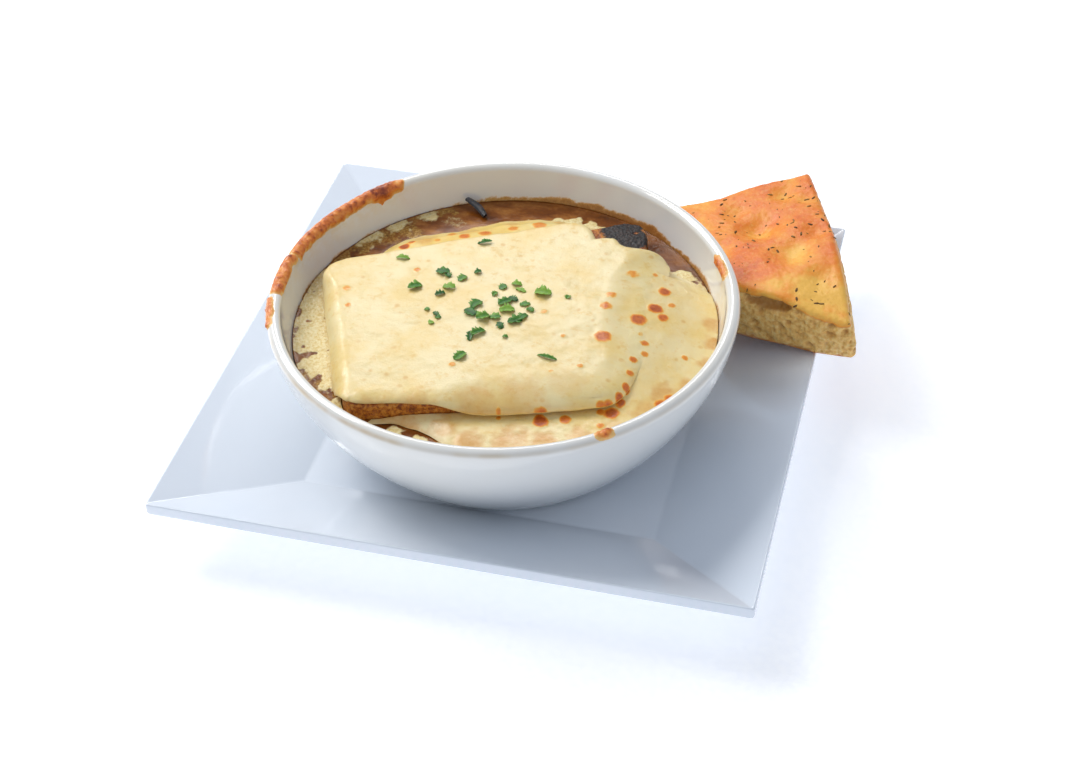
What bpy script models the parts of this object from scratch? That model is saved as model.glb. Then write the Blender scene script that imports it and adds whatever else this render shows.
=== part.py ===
"""French onion soup: a white bowl on a square plate, with toast and melted cheese on the broth
and a wedge of flat bread beside it.

Metres, +Z up.  The origin is the middle of the plate's flat underside, and the plate's sides run
along X and Y.
"""
import math

import bmesh
import bpy
from mathutils import Matrix, Vector

MM = 0.001
GAP = 0.3 * MM                      # clearance left where two pieces touch

# Square plate: a flat well, four straight sloping sides and a blunt rim.
PLATE_SIDE = 228.6 * MM
PLATE_HEIGHT = 25.4 * MM
PLATE_RIM_THICKNESS = 5.4 * MM
PLATE_RIM_ROUNDING = 0.9 * MM
WELL_SIDE = 139.0 * MM
WELL_HEIGHT = 5.5 * MM
PLATE_BASE_SIDE = 131.0 * MM

# Bowl, turned about a vertical axis a little off the plate's middle.
BOWL_AXIS = Vector((-2.8 * MM, -12.2 * MM, 0.0))
BOWL_DIAMETER = 181.6 * MM
BOWL_HEIGHT = 60.1 * MM
BOWL_FOOT_DIAMETER = 114.8 * MM
BOWL_FLARE_POWER = 1.77             # how early the wall turns upright
BOWL_WALL = 5.2 * MM
BOWL_FLOOR = 7.0 * MM
FOOT_RING_WIDTH = 6.0 * MM
FOOT_RECESS = 2.0 * MM
BOWL_SEGMENTS = 72
BOWL_BASE_Z = WELL_HEIGHT + GAP

# Broth.
BROTH_LEVEL = 50.3 * MM
BROTH_SEGMENTS = 64

# Toast floating in the broth: corners seen from above, measured from the bowl's axis.
TOAST_CORNERS = [Vector((x * MM, y * MM)) for x, y in ((-43, -67), (53.5, -39), (43, 71.5), (-75, 10))]
TOAST_CORNER_ROUNDING = 11.0 * MM
TOAST_TOP = 57.2 * MM
TOAST_THICKNESS = 13.5 * MM
TOAST_POINTS = 72
TOAST_EDGE_ROUNDING = 1.5 * MM
POCKET_CLEARANCE = 0.45 * MM        # room left for the toast in the broth

# Upper cheese slice over the toast.
SLICE_THICKNESS = 2.6 * MM
SLICE_CROWN = 0.9 * MM
SLICE_CROWN_REACH = 80.0 * MM       # distance from the bowl's axis where the crown ends
SLICE_SKIRT_GAP = 0.5 * MM
SLICE_ROLL = ((1.6, 1.1), (3.2, 0.45), (5.5, 0.1))    # mm in from the edge, mm below the top
SLICE_INNER_RINGS = (0.2, 0.45, 0.72)                 # shares of the way to the toast's middle
SLICE_CUT_CORNER = 20.5 * MM        # how far the slice stops short of the toast's charred corner

# Cheese melted beyond the toast, behind it and round its right and front sides.
MELT_INNER_TOP = 56.7 * MM
MELT_UNDERSIDE = BROTH_LEVEL + GAP
MELT_EDGE_THICKNESS = 1.8 * MM
MELT_LEAST_REACH = 1.4 * MM
MELT_EDGE_ROUNDING = 0.35 * MM
BACK_SPAN = (2.14, 2.72)            # places along the toast's edge
FLOW_SPAN_START = 0.34
FLOW_LEAVES_WALL = 1.50             # places along the toast's edge: 1-2 is its right side
FLOW_END = 1.80

# Burnt sliver of onion on the broth.
SLIVER_LENGTH = 12.0 * MM
SLIVER_WIDTH = 3.4 * MM
SLIVER_THICKNESS = 1.8 * MM
SLIVER_BEND = 1.0 * MM
SLIVER_PLACE = Vector((-31.2 * MM, 69.4 * MM))
SLIVER_HEADING = math.radians(-35.0)
SLIVER_TILT = math.radians(12.0)

# Bread wedge: it leans on the plate's right rim and slopes down towards the bowl.
BREAD_TILT = math.radians(10.0)
BREAD_PIVOT = Vector((PLATE_SIDE / 2, 0.0, PLATE_HEIGHT + GAP))
BREAD_THICKNESS = 27.0 * MM
BREAD_NOSE_THICKNESS = 18.5 * MM
BREAD_OUTLINE = [Vector((x * MM, y * MM)) for x, y in (
    (16.2, 23.4), (12.0, 43.0), (3.6, 72.3), (-4.4, 93.6), (-13.6, 117.4), (-34.0, 109.4),
    (-50.0, 99.6), (-76.0, 91.0), (-62.0, 65.0), (-44.5, 43.0), (-27.2, 36.0), (-14.4, 32.0),
    (0.0, 26.6))]
BREAD_CORNER_ROUNDING = 2.0 * MM
BREAD_POINTS = 60
BREAD_BACK_UNDERCUT = 7.0 * MM
BREAD_HEEL_LIFT = 3.5 * MM
BREAD_SIDE_BULGE = 0.8 * MM
BREAD_EDGE_ROUNDING = 0.7 * MM
BREAD_DENTS = ((-28, 78, 3.2, 13), (-12, 58, 2.6, 12), (-44, 62, 1.8, 12), (-22, 101, 1.8, 8))  # mm


def smooth_step(low, high, value):
    t = min(max((value - low) / (high - low), 0.0), 1.0)
    return t * t * (3.0 - 2.0 * t)


def bump(centre, half_width, value):
    """1 at the centre, easing to 0 half_width away on either side."""
    return 1.0 - smooth_step(0.0, half_width, abs(value - centre))


def new_material(name, color, roughness, metallic=0.0):
    material = bpy.data.materials.new(name)
    material.use_nodes = True
    shader = material.node_tree.nodes["Principled BSDF"]
    shader.inputs["Base Color"].default_value = (*color, 1.0)
    shader.inputs["Roughness"].default_value = roughness
    shader.inputs["Metallic"].default_value = metallic
    return material


def add_object(name, mesh_data, material, smooth_angle=35.0):
    mesh = bpy.data.meshes.new(name)
    mesh_data.normal_update()
    mesh_data.to_mesh(mesh)
    mesh_data.free()
    mesh.materials.append(material)
    mesh.shade_smooth()
    mesh.set_sharp_from_angle(angle=math.radians(smooth_angle))
    piece = bpy.data.objects.new(name, mesh)
    bpy.context.scene.collection.objects.link(piece)
    return piece


def skin_loops(loops, capped=True):
    """Join loops of equal length into one surface; a fan closes each end loop if capped."""
    mesh_data = bmesh.new()
    rows = [[mesh_data.verts.new(point) for point in loop] for loop in loops]
    count = len(rows[0])
    for lower, upper in zip(rows, rows[1:]):
        for i in range(count):
            j = (i + 1) % count
            mesh_data.faces.new((lower[i], lower[j], upper[j], upper[i]))
    if capped:
        for row, turned in ((rows[0], True), (rows[-1], False)):
            centre = sum((v.co for v in row), Vector()) / count
            hub = mesh_data.verts.new(centre)
            for i in range(count):
                ends = (row[i], row[(i + 1) % count], hub)
                mesh_data.faces.new(ends[::-1] if turned else ends)
    return mesh_data


def triangulate(mesh_data):
    bmesh.ops.triangulate(mesh_data, faces=mesh_data.faces[:])
    return mesh_data


def turned_solid(profile, segments, axis_place):
    """Turn a profile of (radius, height) that starts and ends on the axis, listed upwards."""
    loops = []
    for radius, height in profile[1:-1]:
        loops.append([axis_place + Vector((radius * math.cos(2 * math.pi * i / segments),
                                           radius * math.sin(2 * math.pi * i / segments), height))
                      for i in range(segments)])
    mesh_data = skin_loops(loops, capped=False)
    mesh_data.verts.ensure_lookup_table()
    last_row = (len(loops) - 1) * segments
    first_hub = mesh_data.verts.new(axis_place + Vector((0.0, 0.0, profile[0][1])))
    last_hub = mesh_data.verts.new(axis_place + Vector((0.0, 0.0, profile[-1][1])))
    mesh_data.verts.ensure_lookup_table()
    for i in range(segments):
        j = (i + 1) % segments
        mesh_data.faces.new((mesh_data.verts[j], mesh_data.verts[i], first_hub))
        mesh_data.faces.new((mesh_data.verts[last_row + i], mesh_data.verts[last_row + j], last_hub))
    return mesh_data


def rounded_outline(corners, rounding, count):
    """Evenly spaced (point, outward normal) pairs round a polygon with rounded corners."""
    path = []
    arc_steps = 10
    total = len(corners)
    for k, corner in enumerate(corners):
        before = (corners[k - 1] - corner).normalized()
        after = (corners[(k + 1) % total] - corner).normalized()
        half_angle = before.angle(after) / 2
        reach = rounding / math.tan(half_angle)
        start = corner + before * reach
        end = corner + after * reach
        for step in range(arc_steps + 1):
            t = step / arc_steps
            path.append(start.lerp(corner, t).lerp(corner.lerp(end, t), t))
    lengths = [0.0]
    for a, b in zip(path, path[1:] + path[:1]):
        lengths.append(lengths[-1] + (b - a).length)
    outline = []
    segment = 0
    for i in range(count):
        wanted = lengths[-1] * i / count
        while lengths[segment + 1] < wanted:
            segment += 1
        a = path[segment]
        b = path[(segment + 1) % len(path)]
        t = (wanted - lengths[segment]) / (lengths[segment + 1] - lengths[segment])
        outline.append(a.lerp(b, t))
    pairs = []
    for i, point in enumerate(outline):
        along = outline[(i + 1) % count] - outline[i - 1]
        pairs.append((point, Vector((along.y, -along.x)).normalized()))
    return pairs


# ---- plate -------------------------------------------------------------------------------------

def square_loop(side, height):
    half = side / 2
    return [Vector((sx * half, sy * half, height)) for sx, sy in ((-1, -1), (1, -1), (1, 1), (-1, 1))]


def build_plate(material):
    loops = [square_loop(PLATE_BASE_SIDE, 0.0),
             square_loop(PLATE_SIDE, PLATE_HEIGHT - PLATE_RIM_THICKNESS),
             square_loop(PLATE_SIDE, PLATE_HEIGHT),
             square_loop(WELL_SIDE, WELL_HEIGHT)]
    mesh_data = skin_loops(loops, capped=False)
    mesh_data.verts.ensure_lookup_table()
    verts = mesh_data.verts
    mesh_data.faces.new((verts[3], verts[2], verts[1], verts[0]))
    mesh_data.faces.new((verts[12], verts[13], verts[14], verts[15]))
    mesh_data.verts.index_update()
    weight = mesh_data.edges.layers.float.new("bevel_weight_edge")
    for edge in mesh_data.edges:
        if all(4 <= vert.index < 12 for vert in edge.verts):
            edge[weight] = 1.0
    plate = add_object("plate", mesh_data, material, smooth_angle=16.0)
    rounding = plate.modifiers.new("rounded rim", "BEVEL")
    rounding.limit_method = "WEIGHT"
    rounding.width = PLATE_RIM_ROUNDING
    rounding.segments = 3
    return plate


# ---- bowl and broth ----------------------------------------------------------------------------

def bowl_radius(height):
    """Outer radius at a height above the bowl's own base."""
    t = min(max(height / BOWL_HEIGHT, 0.0), 1.0)
    foot = BOWL_FOOT_DIAMETER / 2
    return foot + (BOWL_DIAMETER / 2 - foot) * (1.0 - (1.0 - t) ** BOWL_FLARE_POWER)


def inner_radius(z):
    """Radius of the bowl's inner wall at a height above the table."""
    return bowl_radius(z - BOWL_BASE_Z) - BOWL_WALL


def bowl_profile():
    foot = BOWL_FOOT_DIAMETER / 2
    floor = BOWL_FLOOR
    foot_rounding = 1.0 * MM
    points = [(0.0, FOOT_RECESS), (foot - FOOT_RING_WIDTH - 1.5 * MM, FOOT_RECESS),
              (foot - FOOT_RING_WIDTH, 0.0), (foot - foot_rounding, 0.0)]
    lip = BOWL_WALL / 2
    shoulder = BOWL_HEIGHT - lip
    wall_steps = 11
    for step in range(wall_steps):
        height = foot_rounding + (shoulder - foot_rounding) * (step / (wall_steps - 1)) ** 1.15
        points.append((bowl_radius(height), height))
    lip_steps = 5
    for step in range(1, lip_steps):
        angle = math.pi * step / lip_steps
        points.append((bowl_radius(shoulder) - lip + lip * math.cos(angle),
                       shoulder + lip * math.sin(angle)))
    inner_steps = 10
    inner_corner = floor + 5.0 * MM
    for step in range(inner_steps):
        height = shoulder - (shoulder - inner_corner) * step / (inner_steps - 1)
        points.append((bowl_radius(height) - BOWL_WALL, height))
    corner_radius = bowl_radius(inner_corner) - BOWL_WALL
    points.append((corner_radius - 4.5 * MM, floor + 1.4 * MM))
    points.append((corner_radius - 11.0 * MM, floor))
    points.append((0.0, floor))
    return points


def build_bowl(material):
    place = BOWL_AXIS + Vector((0.0, 0.0, BOWL_BASE_Z))
    mesh_data = turned_solid(bowl_profile(), BOWL_SEGMENTS, place)
    return add_object("bowl", mesh_data, material)


def broth_profile():
    floor = BOWL_BASE_Z + BOWL_FLOOR
    corner = floor + 5.0 * MM
    corner_radius = inner_radius(corner) - 2.0 * GAP
    points = [(0.0, floor + GAP), (corner_radius - 11.0 * MM, floor + GAP),
              (corner_radius - 4.5 * MM, floor + 1.4 * MM + 2.0 * GAP)]
    wall_steps = 6
    for step in range(wall_steps):
        z = corner + (BROTH_LEVEL - corner) * step / (wall_steps - 1)
        points.append((inner_radius(z) - 1.6 * GAP, z))
    points.append((0.0, BROTH_LEVEL))
    return points


def build_broth(material, pocket):
    broth = add_object("broth", turned_solid(broth_profile(), BROTH_SEGMENTS, BOWL_AXIS), material)
    cut = broth.modifiers.new("room for the toast", "BOOLEAN")
    cut.operation = "DIFFERENCE"
    cut.solver = "EXACT"
    cut.object = pocket
    return broth


# ---- toast and cheese --------------------------------------------------------------------------

def place_on_toast(point):
    """Where a point lies along the toast's edge: 0-1 front, 1-2 right, 2-3 back, 3-4 left side."""
    best = None
    for k, corner in enumerate(TOAST_CORNERS):
        side = TOAST_CORNERS[(k + 1) % 4] - corner
        t = min(max((point - corner).dot(side) / side.length_squared, 0.0), 1.0)
        distance = (corner + side * t - point).length
        if best is None or distance < best[0]:
            best = (distance, k + t)
    return best[1] % 4.0


TOAST_MIDDLE = sum(TOAST_CORNERS, Vector((0.0, 0.0))) / 4
TOAST_EDGE = [(point, normal, place_on_toast(point)) for point, normal
              in rounded_outline(TOAST_CORNERS, TOAST_CORNER_ROUNDING, TOAST_POINTS)]


def on_bowl(point, z):
    return Vector((BOWL_AXIS.x + point.x, BOWL_AXIS.y + point.y, z))


def toast_loops(rings):
    """Loops round the toast's outline from pairs of offset and height."""
    return [[on_bowl(point + normal * offset, z) for point, normal, place in TOAST_EDGE]
            for offset, z in rings]


def build_toast(material):
    bottom = TOAST_TOP - TOAST_THICKNESS
    edge = TOAST_EDGE_ROUNDING
    loops = toast_loops(((-edge, bottom), (0.0, bottom + edge), (0.0, TOAST_TOP - edge),
                         (-edge, TOAST_TOP)))
    return add_object("toast", skin_loops(loops), material)


def build_pocket():
    """Cutter that leaves room for the toast in the broth."""
    bottom = TOAST_TOP - TOAST_THICKNESS - POCKET_CLEARANCE
    above_broth = BROTH_LEVEL + 5.0 * MM
    loops = toast_loops(((POCKET_CLEARANCE, bottom), (POCKET_CLEARANCE, above_broth)))
    pocket = add_object("toast_pocket", skin_loops(loops), None)
    pocket.hide_render = True
    pocket.display_type = "WIRE"
    return pocket


def slice_reach(place):
    """How far the upper slice reaches past the toast's edge."""
    reach = 3.0 * MM
    reach -= 3.4 * MM * bump(0.12, 0.36, place if place < 2.0 else place - 4.0)
    reach += 2.2 * MM * bump(0.6, 0.3, place)
    reach -= 1.0 * MM * bump(1.5, 0.5, place)
    return reach


def slice_edge_spot(point, normal, place, inset):
    """A spot that far in from the slice's edge; near the charred corner it is cut back."""
    corner = bump(2.0, 0.27, place)
    to_middle = (TOAST_MIDDLE - point).normalized()
    inward = (-normal).lerp(to_middle, corner).normalized()
    return point + normal * slice_reach(place) * (1.0 - corner) + inward * inset \
        + to_middle * (SLICE_CUT_CORNER - 3.0 * MM) * corner


def slice_skirt(place):
    """How far the slice hangs down outside the toast's edge."""
    front = smooth_step(0.32, 0.5, place) * (1.0 - smooth_step(0.95, 1.25, place))
    left = smooth_step(3.05, 3.15, place) * (1.0 - smooth_step(3.82, 3.95, place))
    return front * 3.6 * MM + left * 5.4 * MM


def slice_height(spot):
    """Top of the upper slice: nearly flat, a little higher towards the middle."""
    share = spot.length / SLICE_CROWN_REACH
    return TOAST_TOP + GAP + SLICE_THICKNESS + SLICE_CROWN * (1.0 - share ** 2)


def build_upper_slice(material):
    underside = TOAST_TOP + GAP
    wall = 0.8 * MM                 # least width of the hanging edge
    loops = []

    def ring(spot_of, height_of):
        loop = []
        for point, normal, place in TOAST_EDGE:
            spot = spot_of(point, normal, place)
            loop.append(on_bowl(spot, height_of(spot, place)))
        loops.append(loop)

    def skirt_foot(point, normal, place):
        inset = max(slice_reach(place) - SLICE_SKIRT_GAP, wall)
        return slice_edge_spot(point, normal, place, inset)

    deepest_roll = SLICE_ROLL[-1][0] * MM

    def inner_spot(share):
        return lambda point, normal, place: \
            slice_edge_spot(point, normal, place, deepest_roll).lerp(TOAST_MIDDLE, share)

    for share in SLICE_INNER_RINGS[::-1]:
        ring(inner_spot(share), lambda spot, place: underside)
    ring(skirt_foot, lambda spot, place: underside)
    ring(lambda point, normal, place: skirt_foot(point, normal, place) + normal * 0.1 * MM,
         lambda spot, place: underside - slice_skirt(place) + 0.02 * MM)
    ring(lambda point, normal, place: slice_edge_spot(point, normal, place, 0.0),
         lambda spot, place: underside - slice_skirt(place) + 0.5 * MM)
    for inset, drop in SLICE_ROLL:
        ring(lambda point, normal, place: slice_edge_spot(point, normal, place, inset * MM),
             lambda spot, place: slice_height(spot) - drop * (MM + 0.35 * slice_skirt(place)))
    for share in SLICE_INNER_RINGS:
        ring(inner_spot(share), lambda spot, place: slice_height(spot))
    return add_object("cheese_top", triangulate(skin_loops(loops)), material, smooth_angle=50.0)


def wall_point(point, z, clearance):
    """The point level with z where a line from the toast's middle through point meets the wall."""
    heading = (point - TOAST_MIDDLE).normalized()
    radius = inner_radius(z) - clearance
    along = TOAST_MIDDLE.dot(heading)
    reach = math.sqrt(along * along + radius * radius - TOAST_MIDDLE.length_squared) - along
    return TOAST_MIDDLE + heading * reach


def build_melt(name, material, first, last, reach_of, inner_top_of, outer_top):
    """Cheese lying on the broth outside the toast, from outline point first to last.

    reach_of(place) is its width past the toast, or None where it runs to the bowl's wall.
    """
    clearance = 1.6 * GAP
    sections = []
    for n in range(first, last + 1):
        point, normal, place = TOAST_EDGE[n]
        end = smooth_step(0.0, 3.0, min(n - first, last - n) + 0.6)
        inner = point + normal * SLICE_SKIRT_GAP
        edge_top = MELT_UNDERSIDE + (outer_top - MELT_UNDERSIDE) * end
        limit = wall_point(point, edge_top, clearance)
        foot_limit = wall_point(point, MELT_UNDERSIDE, clearance)
        reach = reach_of(place)
        if reach is None:
            outer, foot = limit, foot_limit
        else:
            heading = (limit - point).normalized()
            reach = max(reach * end, MELT_LEAST_REACH)
            outer = point + heading * min(reach, (limit - point).length)
            foot = point + heading * min(reach, (foot_limit - point).length)
        inner_top = MELT_UNDERSIDE + (inner_top_of(place) - MELT_UNDERSIDE) * end
        section = [on_bowl(inner, MELT_UNDERSIDE), on_bowl(foot.lerp(inner, 0.04), MELT_UNDERSIDE),
                   on_bowl(outer, edge_top)]
        for t in (0.12, 0.4, 0.7, 1.0):
            height = edge_top + (inner_top - edge_top) * t ** 1.25
            height += MELT_EDGE_ROUNDING * (1.0 - t) * end
            section.append(on_bowl(outer.lerp(inner, t), height))
        sections.append(section)
    mesh_data = bmesh.new()
    rows = [[mesh_data.verts.new(point) for point in section] for section in sections]
    for a, b in zip(rows, rows[1:]):
        for i in range(len(a)):
            j = (i + 1) % len(a)
            mesh_data.faces.new((a[i], b[i], b[j], a[j]))
    mesh_data.faces.new(rows[0])
    mesh_data.faces.new(rows[-1][::-1])
    bmesh.ops.recalc_face_normals(mesh_data, faces=mesh_data.faces[:])
    return add_object(name, triangulate(mesh_data), material, smooth_angle=50.0)


def back_reach(place):
    """Width of the slice that melted out behind the toast."""
    ripple = math.sin(9.0 * place) ** 2
    return 20.5 * MM - 2.0 * MM * ripple


def flow_reach(place):
    """Past the right side's middle the flow draws back from the wall to the slice's edge."""
    if place < FLOW_LEAVES_WALL:
        return None
    return 27.0 * MM * (1.0 - smooth_step(FLOW_LEAVES_WALL, FLOW_END, place)) + 2.5 * MM


def flow_inner_top(place):
    """The melted side is high on the right and low under the slice's rolled front."""
    front = 1.0 - smooth_step(0.9, 1.35, place)
    return MELT_INNER_TOP - 4.1 * MM * front


def outline_span(start_place, end_place):
    """Outline points whose place lies between two places, running anticlockwise."""
    numbers = [i for i, (point, normal, place) in enumerate(TOAST_EDGE)
               if start_place <= place <= end_place]
    return min(numbers), max(numbers)


# ---- burnt sliver ------------------------------------------------------------------------------

def build_sliver(material):
    steps = 6
    sides = 8
    loops = []
    for step in range(steps + 1):
        t = step / steps
        half_width = SLIVER_WIDTH / 2 * (0.45 + 0.55 * math.sin(math.pi * (0.12 + 0.76 * t)))
        x = SLIVER_LENGTH * (t - 0.5)
        bend = SLIVER_BEND * math.sin(math.pi * t)
        loops.append([Vector((x, bend + half_width * math.cos(a), SLIVER_THICKNESS / 2 * math.sin(a)))
                      for a in (-2 * math.pi * i / sides for i in range(sides))])
    mesh_data = skin_loops(loops)
    bmesh.ops.recalc_face_normals(mesh_data, faces=mesh_data.faces[:])
    turn = Matrix.Rotation(SLIVER_HEADING, 4, "Z") @ Matrix.Rotation(SLIVER_TILT, 4, "Y")
    height = BROTH_LEVEL + GAP + SLIVER_THICKNESS / 2 + SLIVER_LENGTH / 2 * math.sin(SLIVER_TILT)
    mesh_data.transform(Matrix.Translation(on_bowl(SLIVER_PLACE, height)) @ turn)
    return add_object("burnt_onion", mesh_data, material)


# ---- bread wedge -------------------------------------------------------------------------------

def bread_thickness(x, y):
    """Thickness of the loaf over a spot on its underside: domed, thin at the nose, dimpled."""
    nose = smooth_step(-18.0 * MM, 15.0 * MM, x) * (1.0 - smooth_step(24.0 * MM, 62.0 * MM, y))
    thick = BREAD_THICKNESS - (BREAD_THICKNESS - BREAD_NOSE_THICKNESS) * nose
    for dent_x, dent_y, depth, size in BREAD_DENTS:
        distance = math.hypot(x - dent_x * MM, y - dent_y * MM)
        thick -= depth * MM * bump(0.0, size * MM, distance)
    return thick


def heel_lift(spot):
    """The underside rises along the back, where it lies on the plate's back slope."""
    return BREAD_HEEL_LIFT * smooth_step(70.0 * MM, 100.0 * MM, spot.y)


def build_bread(material):
    pairs = rounded_outline(BREAD_OUTLINE, BREAD_CORNER_ROUNDING, BREAD_POINTS)
    middle = sum((point for point, normal in pairs), Vector((0.0, 0.0))) / BREAD_POINTS

    def ring(shrink, inset, undercut, height_of):
        loop = []
        for point, normal in pairs:
            spot = point.lerp(middle, shrink) - normal * inset
            back = smooth_step(0.1, 0.8, normal.y) * smooth_step(-80.0 * MM, -58.0 * MM, spot.x)
            spot.y -= BREAD_BACK_UNDERCUT * undercut * back
            loop.append(Vector((spot.x, spot.y, height_of(spot))))
        return loop

    def top_height(drop):
        return lambda spot: bread_thickness(spot.x, spot.y) - drop

    loops = [ring(0.62, 0.0, 0.0, heel_lift),
             ring(0.28, 0.0, 0.0, heel_lift),
             ring(0.0, BREAD_EDGE_ROUNDING, 1.0, heel_lift),
             ring(0.0, -BREAD_SIDE_BULGE, 0.6, lambda spot: heel_lift(spot) + 2.0 * MM),
             ring(0.0, -BREAD_SIDE_BULGE, 0.1,
                  lambda spot: bread_thickness(spot.x, spot.y) * 0.45),
             ring(0.0, 0.0, 0.0, top_height(2.6 * MM)),
             ring(0.0, 2.0 * BREAD_EDGE_ROUNDING, 0.0, top_height(0.7 * MM))]
    for share in (0.12, 0.28, 0.46, 0.66, 0.86):
        loops.append(ring(share, 0.0, 0.0, top_height(0.0)))
    bread = add_object("bread", triangulate(skin_loops(loops)), material, smooth_angle=50.0)
    bread.location = BREAD_PIVOT
    bread.rotation_euler = (0.0, -BREAD_TILT, 0.0)
    return bread


def clear_scene():
    for piece in list(bpy.data.objects):
        bpy.data.objects.remove(piece, do_unlink=True)


def main():
    clear_scene()
    plate_glaze = new_material("plate_glaze", (0.86, 0.89, 0.95), 0.12)
    bowl_glaze = new_material("bowl_glaze", (0.90, 0.90, 0.88), 0.15)
    brown_broth = new_material("brown_broth", (0.20, 0.09, 0.04), 0.18)
    toasted_crumb = new_material("toasted_crumb", (0.45, 0.20, 0.06), 0.75)
    pale_cheese = new_material("pale_cheese", (0.86, 0.78, 0.50), 0.30)
    yellow_cheese = new_material("yellow_cheese", (0.85, 0.70, 0.30), 0.30)
    burnt_edge = new_material("burnt_edge", (0.03, 0.02, 0.02), 0.60)
    bread_crust = new_material("bread_crust", (0.80, 0.36, 0.08), 0.55)

    build_plate(plate_glaze)
    build_bowl(bowl_glaze)
    build_broth(brown_broth, build_pocket())
    build_toast(toasted_crumb)
    build_upper_slice(pale_cheese)
    first, last = outline_span(*BACK_SPAN)
    build_melt("cheese_back", yellow_cheese, first, last, back_reach,
               lambda place: MELT_INNER_TOP, MELT_UNDERSIDE + MELT_EDGE_THICKNESS)
    first, last = outline_span(FLOW_SPAN_START, FLOW_END)
    build_melt("cheese_flow", yellow_cheese, first, last, flow_reach,
               flow_inner_top, MELT_UNDERSIDE + MELT_EDGE_THICKNESS)
    build_sliver(burnt_edge)
    build_bread(bread_crust)


main()
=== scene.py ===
import math

import bmesh
import bpy
import numpy as np
from mathutils import Matrix, Vector


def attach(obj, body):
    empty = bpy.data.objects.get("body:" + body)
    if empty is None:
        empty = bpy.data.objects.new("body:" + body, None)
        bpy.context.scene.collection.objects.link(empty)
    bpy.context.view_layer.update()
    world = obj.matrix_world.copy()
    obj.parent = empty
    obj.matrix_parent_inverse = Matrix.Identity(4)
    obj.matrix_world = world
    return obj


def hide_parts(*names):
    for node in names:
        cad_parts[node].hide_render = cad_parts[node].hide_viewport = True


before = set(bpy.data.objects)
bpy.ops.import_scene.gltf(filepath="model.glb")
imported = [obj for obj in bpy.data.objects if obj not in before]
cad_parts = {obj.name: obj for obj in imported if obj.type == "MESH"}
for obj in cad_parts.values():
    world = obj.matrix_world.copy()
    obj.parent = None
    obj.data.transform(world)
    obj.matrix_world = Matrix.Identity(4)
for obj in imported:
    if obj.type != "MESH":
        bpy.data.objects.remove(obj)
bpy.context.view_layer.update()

mm = 0.001
scene = bpy.context.scene


# small number helpers; lengths are in millimetres until a mesh is made

def ease(low, high, value):
    t = np.clip((value - low) / (high - low), 0.0, 1.0)
    return t * t * (3.0 - 2.0 * t)


def hump(centre, halfWidth, value):
    return 1.0 - ease(0.0, halfWidth, np.abs(value - centre))


def mix(a, b, share):
    return a + (b - a) * share


def latticeValue(ix, iy, iz, seed):
    h = (ix * 374761393 + iy * 668265263 + iz * 1442695041 + seed * 974634777) & 0xFFFFFFFF
    h = ((h ^ (h >> 13)) * 1274126177) & 0xFFFFFFFF
    h = ((h ^ (h >> 16)) * 374761393) & 0xFFFFFFFF
    return (h ^ (h >> 15)) / 4294967295.0


def softNoise(points, size, seed):
    q = points / size
    cell = np.floor(q).astype(np.int64)
    f = q - cell
    w = f * f * f * (f * (f * 6.0 - 15.0) + 10.0)
    total = 0.0
    for dx in (0, 1):
        for dy in (0, 1):
            for dz in (0, 1):
                share = (w[..., 0] if dx else 1.0 - w[..., 0]) * (w[..., 1] if dy else 1.0 - w[..., 1])
                share = share * (w[..., 2] if dz else 1.0 - w[..., 2])
                total = total + share * latticeValue(cell[..., 0] + dx, cell[..., 1] + dy,
                                                     cell[..., 2] + dz, seed)
    return total * 2.0 - 1.0


def layeredNoise(points, size, seed, layers=3, fall=0.5):
    total = 0.0
    weight = 0.0
    for k in range(layers):
        total = total + softNoise(points, size * 0.5 ** k, seed + 17 * k) * fall ** k
        weight += fall ** k
    return total / weight


def nearestSeed(points, size, seed):
    # distance to the nearest of one random spot in each cell, in cells
    q = points / size
    cell = np.floor(q).astype(np.int64)
    best = np.full(points.shape[:-1], 9.0)
    for dx in (-1, 0, 1):
        for dy in (-1, 0, 1):
            for dz in (-1, 0, 1):
                corner = cell + np.array((dx, dy, dz))
                spot = np.stack([latticeValue(corner[..., 0], corner[..., 1], corner[..., 2], seed + k)
                                 for k in (0, 1, 2)], axis=-1) + corner
                best = np.minimum(best, np.linalg.norm(q - spot, axis=-1))
    return best


def flat3(xy, z=0.0):
    return np.stack([xy[..., 0], xy[..., 1], np.broadcast_to(z, xy[..., 0].shape)], axis=-1)


def spotField(xy, spots, seed, rag=0.25):
    # up to 1 inside each (x, y, radius, strength) spot, fading at a ragged edge
    field = np.zeros(xy.shape[:-1])
    wobble = 1.0 + rag * layeredNoise(flat3(xy), 3.0, seed, 2)
    for x, y, radius, strength in spots:
        away = np.hypot(xy[..., 0] - x, xy[..., 1] - y) / (radius * wobble)
        field = np.maximum(field, strength * (1.0 - ease(0.45, 1.15, away)))
    return field


# mesh helpers

def ringFaces(rings, count):
    faces = []
    first = np.arange(count)
    after = np.roll(first, -1)
    for r in range(rings - 1):
        a, b = first + r * count, after + r * count
        faces.extend(np.stack([a, b, b + count, a + count], axis=1).tolist())
    last = (rings - 1) * count
    hub = rings * count
    faces.extend([[int(j), int(i), hub] for i, j in zip(first, after)])
    faces.extend([[int(i) + last, int(j) + last, hub + 1] for i, j in zip(first, after)])
    return faces


def ringShell(rings):
    # each row goes once round; both ends are closed by a fan
    rows, count = rings.shape[:2]
    points = np.concatenate([rings.reshape(-1, 3), rings[0].mean(axis=0)[None], rings[-1].mean(axis=0)[None]])
    return points, ringFaces(rows, count)


def ringMask(values):
    return np.concatenate([values.reshape(-1), [values[0].mean(), values[-1].mean()]])


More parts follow.
